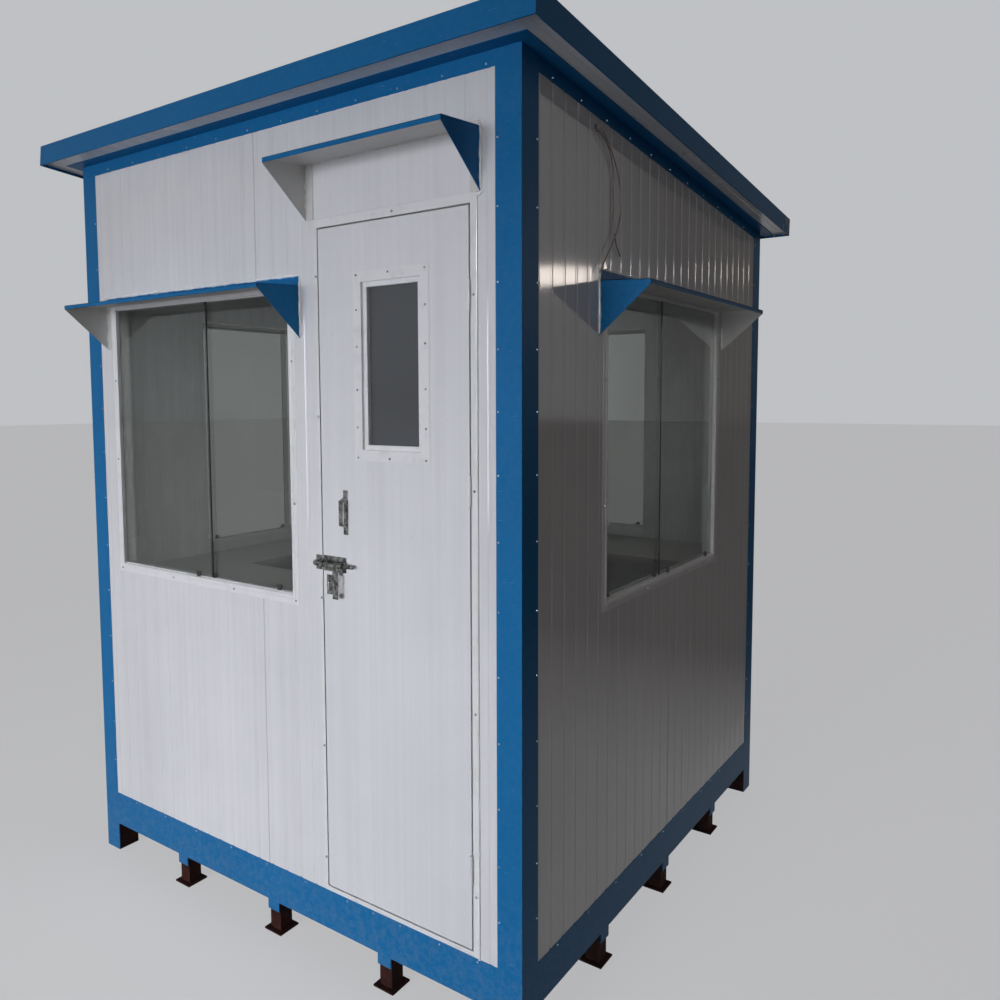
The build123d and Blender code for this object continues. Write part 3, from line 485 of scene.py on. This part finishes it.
def ribbed_sheet(name, side_name, patches, joints, hole=None):
    """The sheet as upright patches. Each is a grid of columns at the ribs' bends by rows from its foot to its
    head, with the depth given by the rib profile."""
    points, faces, shades, count = [], [], [], 0
    for u0, u1, z0, z1 in patches:
        step = np.linspace(-0.5, 0.5, 5) * rib_bend
        lines = np.arange(-20, 21) * rib_pitch + rib_pitch / 2
        bends = [lines - rib_crown / 2, lines + rib_crown / 2]
        marks = np.concatenate([(b[:, None] + step).ravel() for b in bends])
        for joint in joints:
            marks = np.append(marks, joint + np.linspace(-0.004, 0.004, 9))
        marks = marks[(marks > u0 + 1e-4) & (marks < u1 - 1e-4)]
        u = np.unique(np.round(np.concatenate([[u0, u1], marks]), 6))
        v = np.linspace(0, 1, 5)[:, None]
        foot = np.full_like(u, z0)
        head = wall_top(side_name, u, eaves_leg) if z1 is None else np.full_like(u, z1)
        z = foot + (head - foot) * v
        grid = on_wall(side_name, u[None, :], rib_depth(u, joints)[None, :], z)
        points.append(grid.reshape(-1, 3))
        faces.append(grid_faces(len(v), len(u), count))
        near = np.zeros_like(u)
        for joint in joints:
            near = np.maximum(near, np.exp(-((u - joint) / joint_shade_half) ** 2))
        shades.append(np.tile(near, len(v)))
        count += grid.size // 3
    if hole is not None:
        ring = holed_patch(side_name, *hole, joints)
        here = np.arange(hole_points)
        there = (here + 1) % hole_points
        points.append(ring)
        faces.append(np.stack([here, here + hole_points, there + hole_points, there], axis=1) + count)
        shades.append(np.zeros(len(ring)))
    piece = put(name, np.concatenate(points), np.concatenate(faces), [grooved_sheet], smooth=True)
    layer = piece.data.attributes.new("groove", "FLOAT", "POINT")
    layer.data.foreach_set("value", np.concatenate(shades).astype(np.float32))
    thick = piece.modifiers.new("sheet", "SOLIDIFY")
    thick.thickness = sheet_thick
    thick.offset = -1.0
    flats = piece.modifiers.new("flats_stay_flat", "WEIGHTED_NORMAL")
    flats.mode = "FACE_AREA"
    flats.weight = 90
    return piece


grooved_sheet = coil_coat("coil_coated_ribbed_sheet", "#E8E8E8", 0.055, 0.10)
tree = grooved_sheet.node_tree
body = next(n for n in tree.nodes if n.type == "BSDF_PRINCIPLED")
# Darker colour along each joint's groove: painted shade in the groove.
groove = add(tree, "Attribute", attribute_name="groove")
groove_shade_share = add(tree, "Math", {0: groove.outputs["Fac"], 1: 0.55}, operation="MULTIPLY")
plain = body.inputs["Base Color"].links[0].from_socket
groove_painted_shade = add(tree, "MixRGB", {"Fac": groove_shade_share.outputs[0], "Color1": plain, "Color2": srgb("#5E5C58")})
tree.links.new(groove_painted_shade.outputs[0], body.inputs["Base Color"])

door_left = node_box("door_jamb_left")[0][0]
door_right, _, door_top = node_box("door_jamb_right")[1]
hood_right, _, lintel_top = node_box("door_lintel_sheet")[1]
wire_starts = np.array([route[0] for _, _, route in wire_routes.values()]) / 1000
hole_u, hole_z = wire_starts.mean(axis=0)[:2] + (-corner_y, foot_z)
hole_half, hole_radius = 0.016, 0.011
for side_name, middle in window_side.items():
    edge = half_length[side_name] - sheet_edge
    u0, u1 = middle - window_half - window_flange, middle + window_half + window_flange
    w0, w1 = window_low - window_flange, window_high + window_flange
    if side_name == "front":
        patches = [(-edge, u0, foot_z, None), (u0, u1, foot_z, w0), (u0, u1, w1, None),
                   (u1, door_left, foot_z, None), (door_left, door_right, lintel_top, None),
                   (door_right, hood_right, foot_z, door_top), (door_right, hood_right, lintel_top, None),
                   (hood_right, edge, foot_z, None)]
    else:
        patches = [(-edge, u0, foot_z, None), (u0, u1, foot_z, w0), (u0, u1, w1, None),
                   (u1, edge, foot_z, None)]
    hole = None
    if side_name == "right":
        hole = (hole_u - hole_half, hole_u + hole_half, hole_z - hole_half, hole_z + hole_half, hole_radius)
        patches[:1] = [(-edge, hole[0], foot_z, None), (hole[0], hole[1], foot_z, hole[2]),
                       (hole[0], hole[1], hole[3], None), (hole[1], u0, foot_z, None)]
    joints = {"front": [-0.017], "right": [0.008], "back": [0.013], "left": [-0.008]}[side_name]
    sheet = ribbed_sheet(side_name + "_ribbed_sheet", side_name, patches, joints, hole)
    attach(sheet, "booth")
    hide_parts(side_name + "_skin")


# Windows: aluminium frames, powder coated white, screwed to the sheet through a flat flange. Powder coat is
# even and satin. The two panes slide in the frame's tracks with no frames of their own, and black rubber
# stops stand before them on the sill.
def powder_coat(name, code, rough):
    """Powder coat on aluminium or steel: even, with a pebble of about 1 mm, and grime in 60 mm patches."""
    made, tree, output, place = start_material(name)
    grime = add(tree, "TexNoise", {"Vector": place, "Scale": 16.0, "Detail": 5.0, "Roughness": 0.65})
    share = add(tree, "MapRange", {"Value": grime.outputs["Fac"], "From Min": 0.52, "From Max": 0.80,
                                   "To Max": 0.28})
    colour = add(tree, "MixRGB", {"Fac": share.outputs[0], "Color1": srgb(code), "Color2": srgb("#9C9A96")})
    fold = add(tree, "Bevel", {"Radius": 0.001}, samples=4)
    pebble = add(tree, "TexNoise", {"Vector": place, "Scale": 900.0, "Detail": 2.0})
    bump = add(tree, "Bump", {"Height": pebble.outputs["Fac"], "Strength": 0.08, "Distance": 0.0003,
                              "Normal": fold.outputs[0]})
    body = add(tree, "BsdfPrincipled", {"Base Color": colour.outputs[0], "Roughness": rough, "IOR": 1.5,
                                        "Normal": bump.outputs[0]})
    tree.links.new(body.outputs[0], output.inputs["Surface"])
    return made


def float_glass(name, tint, dust_code, dust_low, dust_high, rough):
    """Float glass: clear with a slight green, and a thin film of dust in drifts of about 0.3 m."""
    made, tree, output, place = start_material(name)
    drift = add(tree, "TexNoise", {"Vector": place, "Scale": 3.0, "Detail": 6.0, "Roughness": 0.6})
    film = add(tree, "MapRange", {"Value": drift.outputs["Fac"], "From Min": 0.35, "From Max": 0.75,
                                  "To Min": dust_low, "To Max": dust_high})
    clear = add(tree, "BsdfPrincipled", {"Base Color": srgb(tint), "Roughness": rough, "IOR": 1.42,
                                         "Transmission Weight": 1.0})
    dust = add(tree, "BsdfPrincipled", {"Base Color": srgb(dust_code), "Roughness": 0.9, "IOR": 1.45})
    both = add(tree, "MixShader", {0: film.outputs[0], 1: clear.outputs[0], 2: dust.outputs[0]})
    tree.links.new(both.outputs[0], output.inputs["Surface"])
    return made


def ground_edge():
    """Ground edge of float glass: dark green, as light is lost along the sheet, with pale 6 mm chips."""
    made, tree, output, place = start_material("ground_glass_edge")
    chip = add(tree, "TexNoise", {"Vector": place, "Scale": 160.0, "Detail": 3.0})
    share = add(tree, "MapRange", {"Value": chip.outputs["Fac"], "From Min": 0.58, "From Max": 0.72,
                                   "To Max": 0.5})
    colour = add(tree, "MixRGB", {"Fac": share.outputs[0], "Color1": srgb("#1A2220"),
                                  "Color2": srgb("#5F6B67")})
    body = add(tree, "BsdfPrincipled", {"Base Color": colour.outputs[0], "Roughness": 0.35, "IOR": 1.52})
    tree.links.new(body.outputs[0], output.inputs["Surface"])
    return made


def black_rubber():
    """Moulded rubber: near black, matt, with a grey bloom of dust in 3 mm spots."""
    made, tree, output, place = start_material("black_rubber")
    bloom = add(tree, "TexNoise", {"Vector": place, "Scale": 300.0, "Detail": 3.0})
    colour = add(tree, "MixRGB", {"Fac": bloom.outputs["Fac"], "Color1": srgb("#0E0F10"),
                                  "Color2": srgb("#2B2C2C")})
    body = add(tree, "BsdfPrincipled", {"Base Color": colour.outputs[0], "Roughness": 0.6, "IOR": 1.5})
    tree.links.new(body.outputs[0], output.inputs["Surface"])
    return made


box_faces = np.array([(0, 1, 2, 3), (7, 6, 5, 4), (0, 4, 5, 1), (1, 5, 6, 2), (2, 6, 7, 3), (3, 7, 4, 0)])
frame_inset, frame_depth, track_thick = 0.003, 0.052, 0.002
pane_low, pane_high, pane_sheet, pane_lap = window_low + 0.005, window_high - 0.002, 0.005, 0.009
pane_meet = {"front": 0.040, "right": -0.028, "back": 0.0, "left": 0.0}
pane_depths = (0.012, 0.023)
track_depths = (0.009, 0.019, 0.029)
stop_half, stop_thick, stop_tall = 0.010, 0.005, 0.019
pane_stops = {"front": (-0.373, -0.296, 0.042), "right": (-0.451, -0.089, 0.006, 0.385),
              "back": (-0.430, -0.064, 0.030, 0.410), "left": (-0.400, -0.040, 0.055, 0.435)}


def slabs(side_name, boxes):
    """Points and faces of boxes, each given as (u0, u1, d0, d1, z0, z1): its outer face's four corners, then
    the same four at the inner depth."""
    b = np.asarray(boxes, float)
    u, d, z = b[:, [0, 1, 1, 0] * 2], b[:, [2] * 4 + [3] * 4], b[:, [4, 4, 5, 5] * 2]
    faces = box_faces[None] + 8 * np.arange(len(b))[:, None, None]
    return on_wall(side_name, u, d, z).reshape(-1, 3), faces.reshape(-1, 4)


def mitred_frame(side_name, middle):
    """One profile carried round the opening with mitred corners. Each profile point is an offset outwards
    from the opening and a depth, with its own offset at the head and the sill, and the profile is closed."""
    bead_out = np.array([0.0085, 0.0078, 0.0062, 0.0040, 0.0012, -0.0012])
    bead_rise = -np.array([0.0, 0.0009, 0.0019, 0.0023, 0.0023, 0.0017])
    out = np.r_[window_flange, window_flange, window_flange - 0.0008, bead_out, 0, 0, 0, 0]
    depth = np.r_[0.0022, 0.0004, 0.0, bead_rise, -0.0004, frame_depth, frame_depth, 0.0022]
    n = len(out)
    side, head, sill = out.copy(), out.copy(), out.copy()
    for row, inset in ((side, frame_inset), (head, window_high - pane_high), (sill, pane_low - window_low)):
        row[[n - 4, n - 3]] = -inset
    u = np.stack([middle - window_half - side, middle + window_half + side] * 2, axis=1)[:, [0, 1, 3, 2]]
    z = np.stack([window_low - sill, window_low - sill, window_high + head, window_high + head], axis=1)
    here = np.arange(n)[:, None] * 4
    there = (np.arange(n)[:, None] + 1) % n * 4
    j, k = np.arange(4), (np.arange(4) + 1) % 4
    faces = np.stack([here + j, here + k, there + k, there + j], axis=-1).reshape(-1, 4)
    return on_wall(side_name, u, depth[:, None], z).reshape(-1, 3), faces


window_white = powder_coat("white_powder_coat", "#E8E8E8", 0.34)
pane_glass = float_glass("dusty_float_glass", "#BFC2BF", "#80837F", 0.03, 0.10, 0.0)
pane_edge = ground_edge()
rubber = black_rubber()
for side_name, middle in window_side.items():
    points, faces = mitred_frame(side_name, middle)
    inner = window_half - frame_inset
    tracks = [(middle - inner, middle + inner, d, d + track_thick, *span) for d in track_depths
              for span in ((pane_low, pane_low + 0.004), (pane_high - 0.002, pane_high))]
    more_points, more_faces = slabs(side_name, tracks)
    piece = put(side_name + "_window_powder_coated", np.concatenate([points, more_points]),
                np.concatenate([faces, more_faces + len(points)]), [window_white])
    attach(piece, "booth")
    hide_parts(side_name + "_window_frame")

    left_depth, right_depth = pane_depths[::-1] if side_name == "right" else pane_depths
    meet = middle + pane_meet[side_name]
    panes = [(middle - inner, meet + pane_lap, left_depth, left_depth + pane_sheet, pane_low, pane_high),
             (meet - pane_lap, middle + inner, right_depth, right_depth + pane_sheet, pane_low, pane_high)]
    piece = put(side_name + "_window_panes", *slabs(side_name, panes), [pane_glass, pane_edge],
                picks=[0, 0, 1, 1, 1, 1] * 2)
    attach(piece, "booth")
    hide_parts(side_name + "_window_glass")

    stops = []
    for u in pane_stops[side_name]:
        face = left_depth if u < meet else right_depth
        stops.append((u - stop_half, u + stop_half, face - stop_thick, face, pane_low, pane_low + stop_tall))
    piece = put(side_name + "_pane_stops", *slabs(side_name, stops), [rubber])
    round_off = piece.modifiers.new("moulded_edges", "BEVEL")
    round_off.width = 0.0012
    round_off.segments = 2
    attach(piece, "booth")


# Hoods over the windows and the door: galvanised sheet folded into a canopy with a lip and two cheeks, blue
# enamel outside, and inside and on the wall flanges the white coat that the sheet came with, painted greyer
# than the walls' coat as painted shade under the canopy.
hood_top = window_high + 0.043
hood_past, hood_cheek = 0.054, 0.194
door_hood_left, door_hood_right, door_hood_top, door_hood_cheek = 0.222, 0.882, 2.540, 0.168


def folded_hood(side_name, name, a, b, top, upturn, fall, cheek, lip, flange):
    """Folded plates of one thickness from u = a to b. Each is an outer quad, the way to its inner face, and a
    colour for each face of the plate. The canopy, lip and cheeks are blue outside and on their cut edges, the
    two side flanges white, and the upturn blue. The canopy starts the upturn's height below the hood's top."""
    reach, sheet, foot = 0.165, 0.0015, 0.0010
    root = top - upturn
    front = root - fall
    low = front - lip
    white_inside, all_white, all_blue = [0, 1, 0, 0, 0, 0], [1] * 6, [0] * 6
    canopy = [(a, foot, root), (b, foot, root), (b, -reach, front), (a, -reach, front)]
    drop = [(a, -reach, front), (b, -reach, front), (b, -reach, low), (a, -reach, low)]
    left = [(a, foot, root), (a, -reach, front), (a, -reach, low), (a, foot, top - cheek)]
    right = [(b, foot, top - cheek), (b, -reach, low), (b, -reach, front), (b, foot, root)]
    plates = [(canopy, (0, 0, -sheet), white_inside), (drop, (0, sheet, 0), white_inside),
              (left, (sheet, 0, 0), white_inside), (right, (-sheet, 0, 0), white_inside)]
    for u0, u1 in ((a + sheet, a + flange), (b - flange, b - sheet)):
        corners = [(u0, foot - sheet, top - cheek), (u1, foot - sheet, top - cheek),
                   (u1, foot - sheet, root - sheet), (u0, foot - sheet, root - sheet)]
        plates.append((corners, (0, sheet, 0), all_white))
    if upturn:
        corners = [(a, foot - sheet, root), (b, foot - sheet, root),
                   (b, foot - sheet, top), (a, foot - sheet, top)]
        plates.append((corners, (0, sheet, 0), all_blue))
    points, faces, picks = [], [], []
    for i, (corners, inward, colours) in enumerate(plates):
        outer = np.array(corners, float)
        both = np.concatenate([outer, outer + inward])
        points.append(on_wall(side_name, both[:, 0], both[:, 1], both[:, 2]))
        faces.append(box_faces + 8 * i)
        picks += colours
    piece = put(name + "_sheet", np.concatenate(points), np.concatenate(faces), [enamel, hood_inner_painted_shade],
                picks=picks)
    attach(piece, "booth")
    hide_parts(name)


# The hoods' inner coat and side flanges are a greyer white than the walls: painted shade under the canopy.
hood_inner_painted_shade = powder_coat("white_hood_inner_painted_shade", "#CFCECB", 0.42)
for side_name, middle in window_side.items():
    reach_out = window_half + hood_past
    folded_hood(side_name, side_name + "_window_hood", middle - reach_out, middle + reach_out, hood_top,
                upturn=0.030, fall=0.009, cheek=hood_cheek, lip=0.013, flange=0.018)
folded_hood("front", "door_hood", door_hood_left, door_hood_right, door_hood_top,
            upturn=0.0, fall=0.015, cheek=door_hood_cheek, lip=0.014, flange=0.032)


# Silicone sealant: white beads run by hand where the hoods meet the wall. Cured silicone is smooth with a
# wet shine, and a hand-run bead swells and thins every few centimetres.
bead_radius, bead_depth = 0.0042, -0.0002


def silicone():
    """White silicone: soft shine, and faint yellowing and dust in 30 mm patches."""
    made, tree, output, place = start_material("white_silicone")
    age = add(tree, "TexNoise", {"Vector": place, "Scale": 30.0, "Detail": 3.0})
    colour = add(tree, "MixRGB", {"Fac": age.outputs["Fac"], "Color1": srgb("#FAFAFA"),
                                  "Color2": srgb("#EDEDEB")})
    body = add(tree, "BsdfPrincipled", {"Base Color": colour.outputs[0], "Roughness": 0.3, "IOR": 1.42})
    tree.links.new(body.outputs[0], output.inputs["Surface"])
    return made


def tube_faces(rings, around):
    """Quads between rings of points, each ring closed, numbered round each ring in turn."""
    at = np.arange(rings - 1)[:, None] * around
    here, there = np.arange(around), (np.arange(around) + 1) % around
    quads = np.stack([at + here, at + there, at + around + there, at + around + here], axis=-1)
    return quads.reshape(-1, 4)


def bead(name, path, radius, seed):
    """A closed tube along a path: the radius at each place is the given one times one plus a sum of three
    sine waves along the way, and its ends close in a point."""
    path = np.asarray(path, float)
    run = np.r_[0, np.cumsum(np.linalg.norm(np.diff(path, axis=0), axis=1))]
    s = np.linspace(0, run[-1], max(24, int(run[-1] / 0.008)))
    middle = np.stack([np.interp(s, run, path[:, i]) for i in range(3)], axis=1)
    rng = np.random.default_rng(seed)
    waves = ((0.18, 95.0), (0.14, 210.0), (0.20, 37.0))
    swell = sum(a * np.sin(s * k + rng.uniform(0, 6.3)) for a, k in waves)
    ends = np.clip(np.minimum(s, run[-1] - s) / 0.004, 0.02, 1) ** 0.5
    r = radius * (1 + swell) * ends
    along = np.gradient(middle, axis=0)
    along /= np.linalg.norm(along, axis=1)[:, None]
    ref = np.where(np.abs(along[:, 2:]) > 0.8, np.array([[1.0, 0.35, 0.0]]), np.array([[0.0, 0.0, 1.0]]))
    one = np.cross(along, ref)
    one /= np.linalg.norm(one, axis=1)[:, None]
    two = np.cross(along, one)
    turn = np.linspace(0, math.tau, 9)[:-1]
    spoke = np.cos(turn)[:, None] * one[:, None] + np.sin(turn)[:, None] * two[:, None]
    rings = middle[:, None] + r[:, None, None] * spoke
    n, m = rings.shape[:2]
    faces = [*tube_faces(n, m), np.arange(m)[::-1], np.arange(m) + (n - 1) * m]
    piece = put(name, rings, faces, [sealant], smooth=True)
    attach(piece, "booth")


def hood_bead(name, side_name, a, b, top, low, seed):
    """One bead up a hood's left cheek, along its top and down its right cheek."""
    path = on_wall(side_name, np.array([a, a, b, b]), bead_depth, np.array([low, top, top, low]))
    bead(name, path, bead_radius, seed)


sealant = silicone()
for seed, (side_name, middle) in enumerate(window_side.items(), start=1):
    reach_out = window_half + hood_past + 0.0015
    hood_bead(side_name + "_hood_bead", side_name, middle - reach_out, middle + reach_out, hood_top + 0.002,
              hood_top - hood_cheek + 0.001, seed)
hood_bead("door_hood_bead", "front", door_hood_left - 0.0025, door_hood_right + 0.0025, door_hood_top + 0.002,
          door_hood_top - door_hood_cheek + 0.002, 7)
smear_u = np.array([0.000, 0.006, 0.004, 0.012, 0.011, 0.019, 0.018, 0.025]) + door_hood_right - 0.020
smear_z = np.array([0.008, 0.003, 0.010, 0.004, 0.012, 0.006, 0.014, -0.004]) + door_hood_top
bead("door_hood_smear", on_wall("front", smear_u, -0.0004, smear_z), 0.0028, 8)
dab_u = np.array([-0.010, -0.004, 0.002, 0.007]) + door_hood_right
dab_z = np.array([-0.172, -0.178, -0.174, -0.169]) + door_hood_top
bead("door_hood_dab", on_wall("front", dab_u, -0.0006, dab_z), 0.0040, 9)


# Door frame, lintel sheet and leaf: folded steel sheet with the same off-white coat, flat where the walls are
# ribbed. The leaf is a foam panel edged with a folded rim.
door_white = coil_coat("flat_coated_steel", "#E6E6E7", 0.36, 0.46)
dress(door_white, "door_leaf", "door_lintel_sheet")
dress(powder_coat("white_gloss_paint", "#E9E9E8", 0.12), "door_jamb_left", "door_jamb_right")
dress(window_white, "door_head", "door_threshold", "door_light_frame")


# The door's light: a fixed pane of obscured grey glass, held by a sash inside the leaf. Its figured face
# scatters what lies behind it, and dust on both faces dulls it further.
dress(float_glass("obscured_grey_glass", "#3B4044", "#6A6D70", 0.35, 0.6, 0.35), "door_light_glass")


# Pull handle, bolt, hasp and staple: pressed and drawn steel, zinc plated and dull, whose shine is broken by
# drawing marks and handling. The butt hinges were sprayed over in white with the door frame.
def zinc_plate(name, code, dull_code, rough):
    """Zinc-plated steel: metal with drawing marks under 1 mm wide, clouded from a bright tone to a dull one in
    17 mm patches."""
    made, tree, output, place = start_material(name)
    cloud = add(tree, "TexNoise", {"Vector": place, "Scale": 60.0, "Detail": 4.0, "Roughness": 0.6})
    patch = add(tree, "MapRange", {"Value": cloud.outputs["Fac"], "From Min": 0.38, "From Max": 0.60})
    colour = add(tree, "MixRGB", {"Fac": patch.outputs[0], "Color1": srgb(code), "Color2": srgb(dull_code)})
    gloss = add(tree, "MapRange", {"Value": cloud.outputs["Fac"], "From Min": 0.3, "From Max": 0.7,
                                   "To Min": rough - 0.08, "To Max": rough + 0.12})
    stretch = add(tree, "Mapping", {"Vector": place, "Scale": (60.0, 60.0, 1200.0)})
    drawn = add(tree, "TexNoise", {"Vector": stretch.outputs[0], "Scale": 1.0, "Detail": 2.0})
    fold = add(tree, "Bevel", {"Radius": 0.0006}, samples=4)
    bump = add(tree, "Bump", {"Height": drawn.outputs["Fac"], "Strength": 0.12, "Distance": 0.0002,
                              "Normal": fold.outputs[0]})
    body = add(tree, "BsdfPrincipled", {"Base Color": colour.outputs[0], "Roughness": gloss.outputs[0],
                                        "Metallic": 1.0, "Normal": bump.outputs[0]})
    tree.links.new(body.outputs[0], output.inputs["Surface"])
    return made


zinc = zinc_plate("zinc_plated_steel", "#9FA09E", "#4C4D4C", 0.24)
dress(zinc, "door_handle", "bolt_plate", "bolt_rod", "bolt_keeper", "bolt_hasp")
dress(window_white, "hinge_frame_side", "hinge_leaf_side")


# Screws and rivets: zinc-plated pan heads, about 8 mm across on the frames, 7 mm round the door's light and
# 6 mm on the blue trims, each with a small recess in its crown.
screw_zinc = zinc_plate("zinc_plated_screws", "#A8A9A7", "#616261", 0.3)
# The rivets' zinc is paler and bluer than the screws': partly the plating's own tone, partly a painted glint
# on their heads.
rivet_zinc_painted_glint = zinc_plate("bluish_zinc_rivets_painted_glint", "#AFBAC4", "#7F8C98", 0.42)


def heads(name, body_name, groups, radius, height, metal):
    """Pan heads turned from one profile: rings of ten points about each screw's axis, with heights that rise
    from the sheet to the crown and dip in the recess. Each group is a wall, and its places (u, depth, z)."""
    profile = np.array([(1.0, -0.1), (1.0, 0.35), (0.8, 0.85), (0.42, 1.0), (0.28, 0.5)]) * (radius, height)
    turn = np.linspace(0, math.tau, 11)[:-1]
    points, faces, count = [], [], 0
    m, k = len(profile), len(turn)
    quads = tube_faces(m, k)
    for side_name, places in groups:
        for u, depth, z in places:
            r, h = profile[:, :1], profile[:, 1:]
            ring = on_wall(side_name, u + r * np.cos(turn), depth - h, z + r * np.sin(turn))
            points.append(ring.reshape(-1, 3))
            faces += [*(quads + count), np.arange(k) + (m - 1) * k + count, np.arange(k)[::-1] + count]
            count += m * k
    piece = put(name, np.concatenate(points), faces, [metal])
    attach(piece, body_name)


screw_depth = 0.0008
sill_row = (-0.490, -0.164, 0.180, 0.490)
frame_screws = []
for side_name, middle in window_side.items():
    out = window_half + window_flange / 2
    columns = ((1.597, 1.897), (1.490, 1.945)) if side_name == "front" else ((1.493, 1.880), (1.600, 1.900))
    spots = [(middle + s * out, screw_depth, z) for s, rows in zip((-1, 1), columns) for z in rows]
    spots += [(middle + u, screw_depth, window_low - window_flange / 2) for u in sill_row]
    frame_screws.append((side_name, spots))
jamb_spots = [(0.8595, screw_depth, z) for z in (0.42, 0.95, 1.573, 2.103)]
jamb_spots += [(0.2615, screw_depth, z) for z in (0.35, 0.72, 1.20, 1.771, 2.20)]
jamb_spots.append((0.572, screw_depth, 2.3585))
frame_screws.append(("front", jamb_spots))
heads("frame_screws", "booth", frame_screws, 0.0040, 0.0024, screw_zinc)
light_rows = (1.650, 1.740, 1.852, 1.980, 2.088, 2.190)
light_spots = [(u, -0.0004, z) for u in (0.430, 0.692) for z in light_rows]
light_spots += [(0.555, -0.0004, z) for z in (light_rows[0], light_rows[-1])]
heads("door_light_screws", "door", [("front", light_spots)], 0.0034, 0.0022, screw_zinc)

foot_row = (-0.80, -0.61, -0.42, -0.22, -0.03, 0.16, 0.352, 0.463, 0.574, 0.725, 0.863)
head_row = (-0.84, -0.68, -0.52, -0.36, -0.20, -0.04, 0.12, 0.28, 0.44, 0.599, 0.759, 0.903)
column = (0.375, 0.535, 0.700, 0.885, 1.07, 1.25, 1.44, 1.62, 1.79, 1.955, 2.13, 2.325, 2.50)
trim_rivets = []
for side_name, half in half_length.items():
    spots = [(s * (half - 0.075), 0.0, z) for s in (-1, 1) for z in column]
    spots += [(u, 0.0, 0.231) for u in foot_row if abs(u) < half - 0.1]
    spots += [(u, 0.0, float(wall_top(side_name, u, 0.034))) for u in head_row if abs(u) < half - 0.1]
    trim_rivets.append((side_name, spots))
heads("trim_rivets", "booth", trim_rivets, 0.0029, 0.0018, rivet_zinc_painted_glint)

low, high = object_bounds()
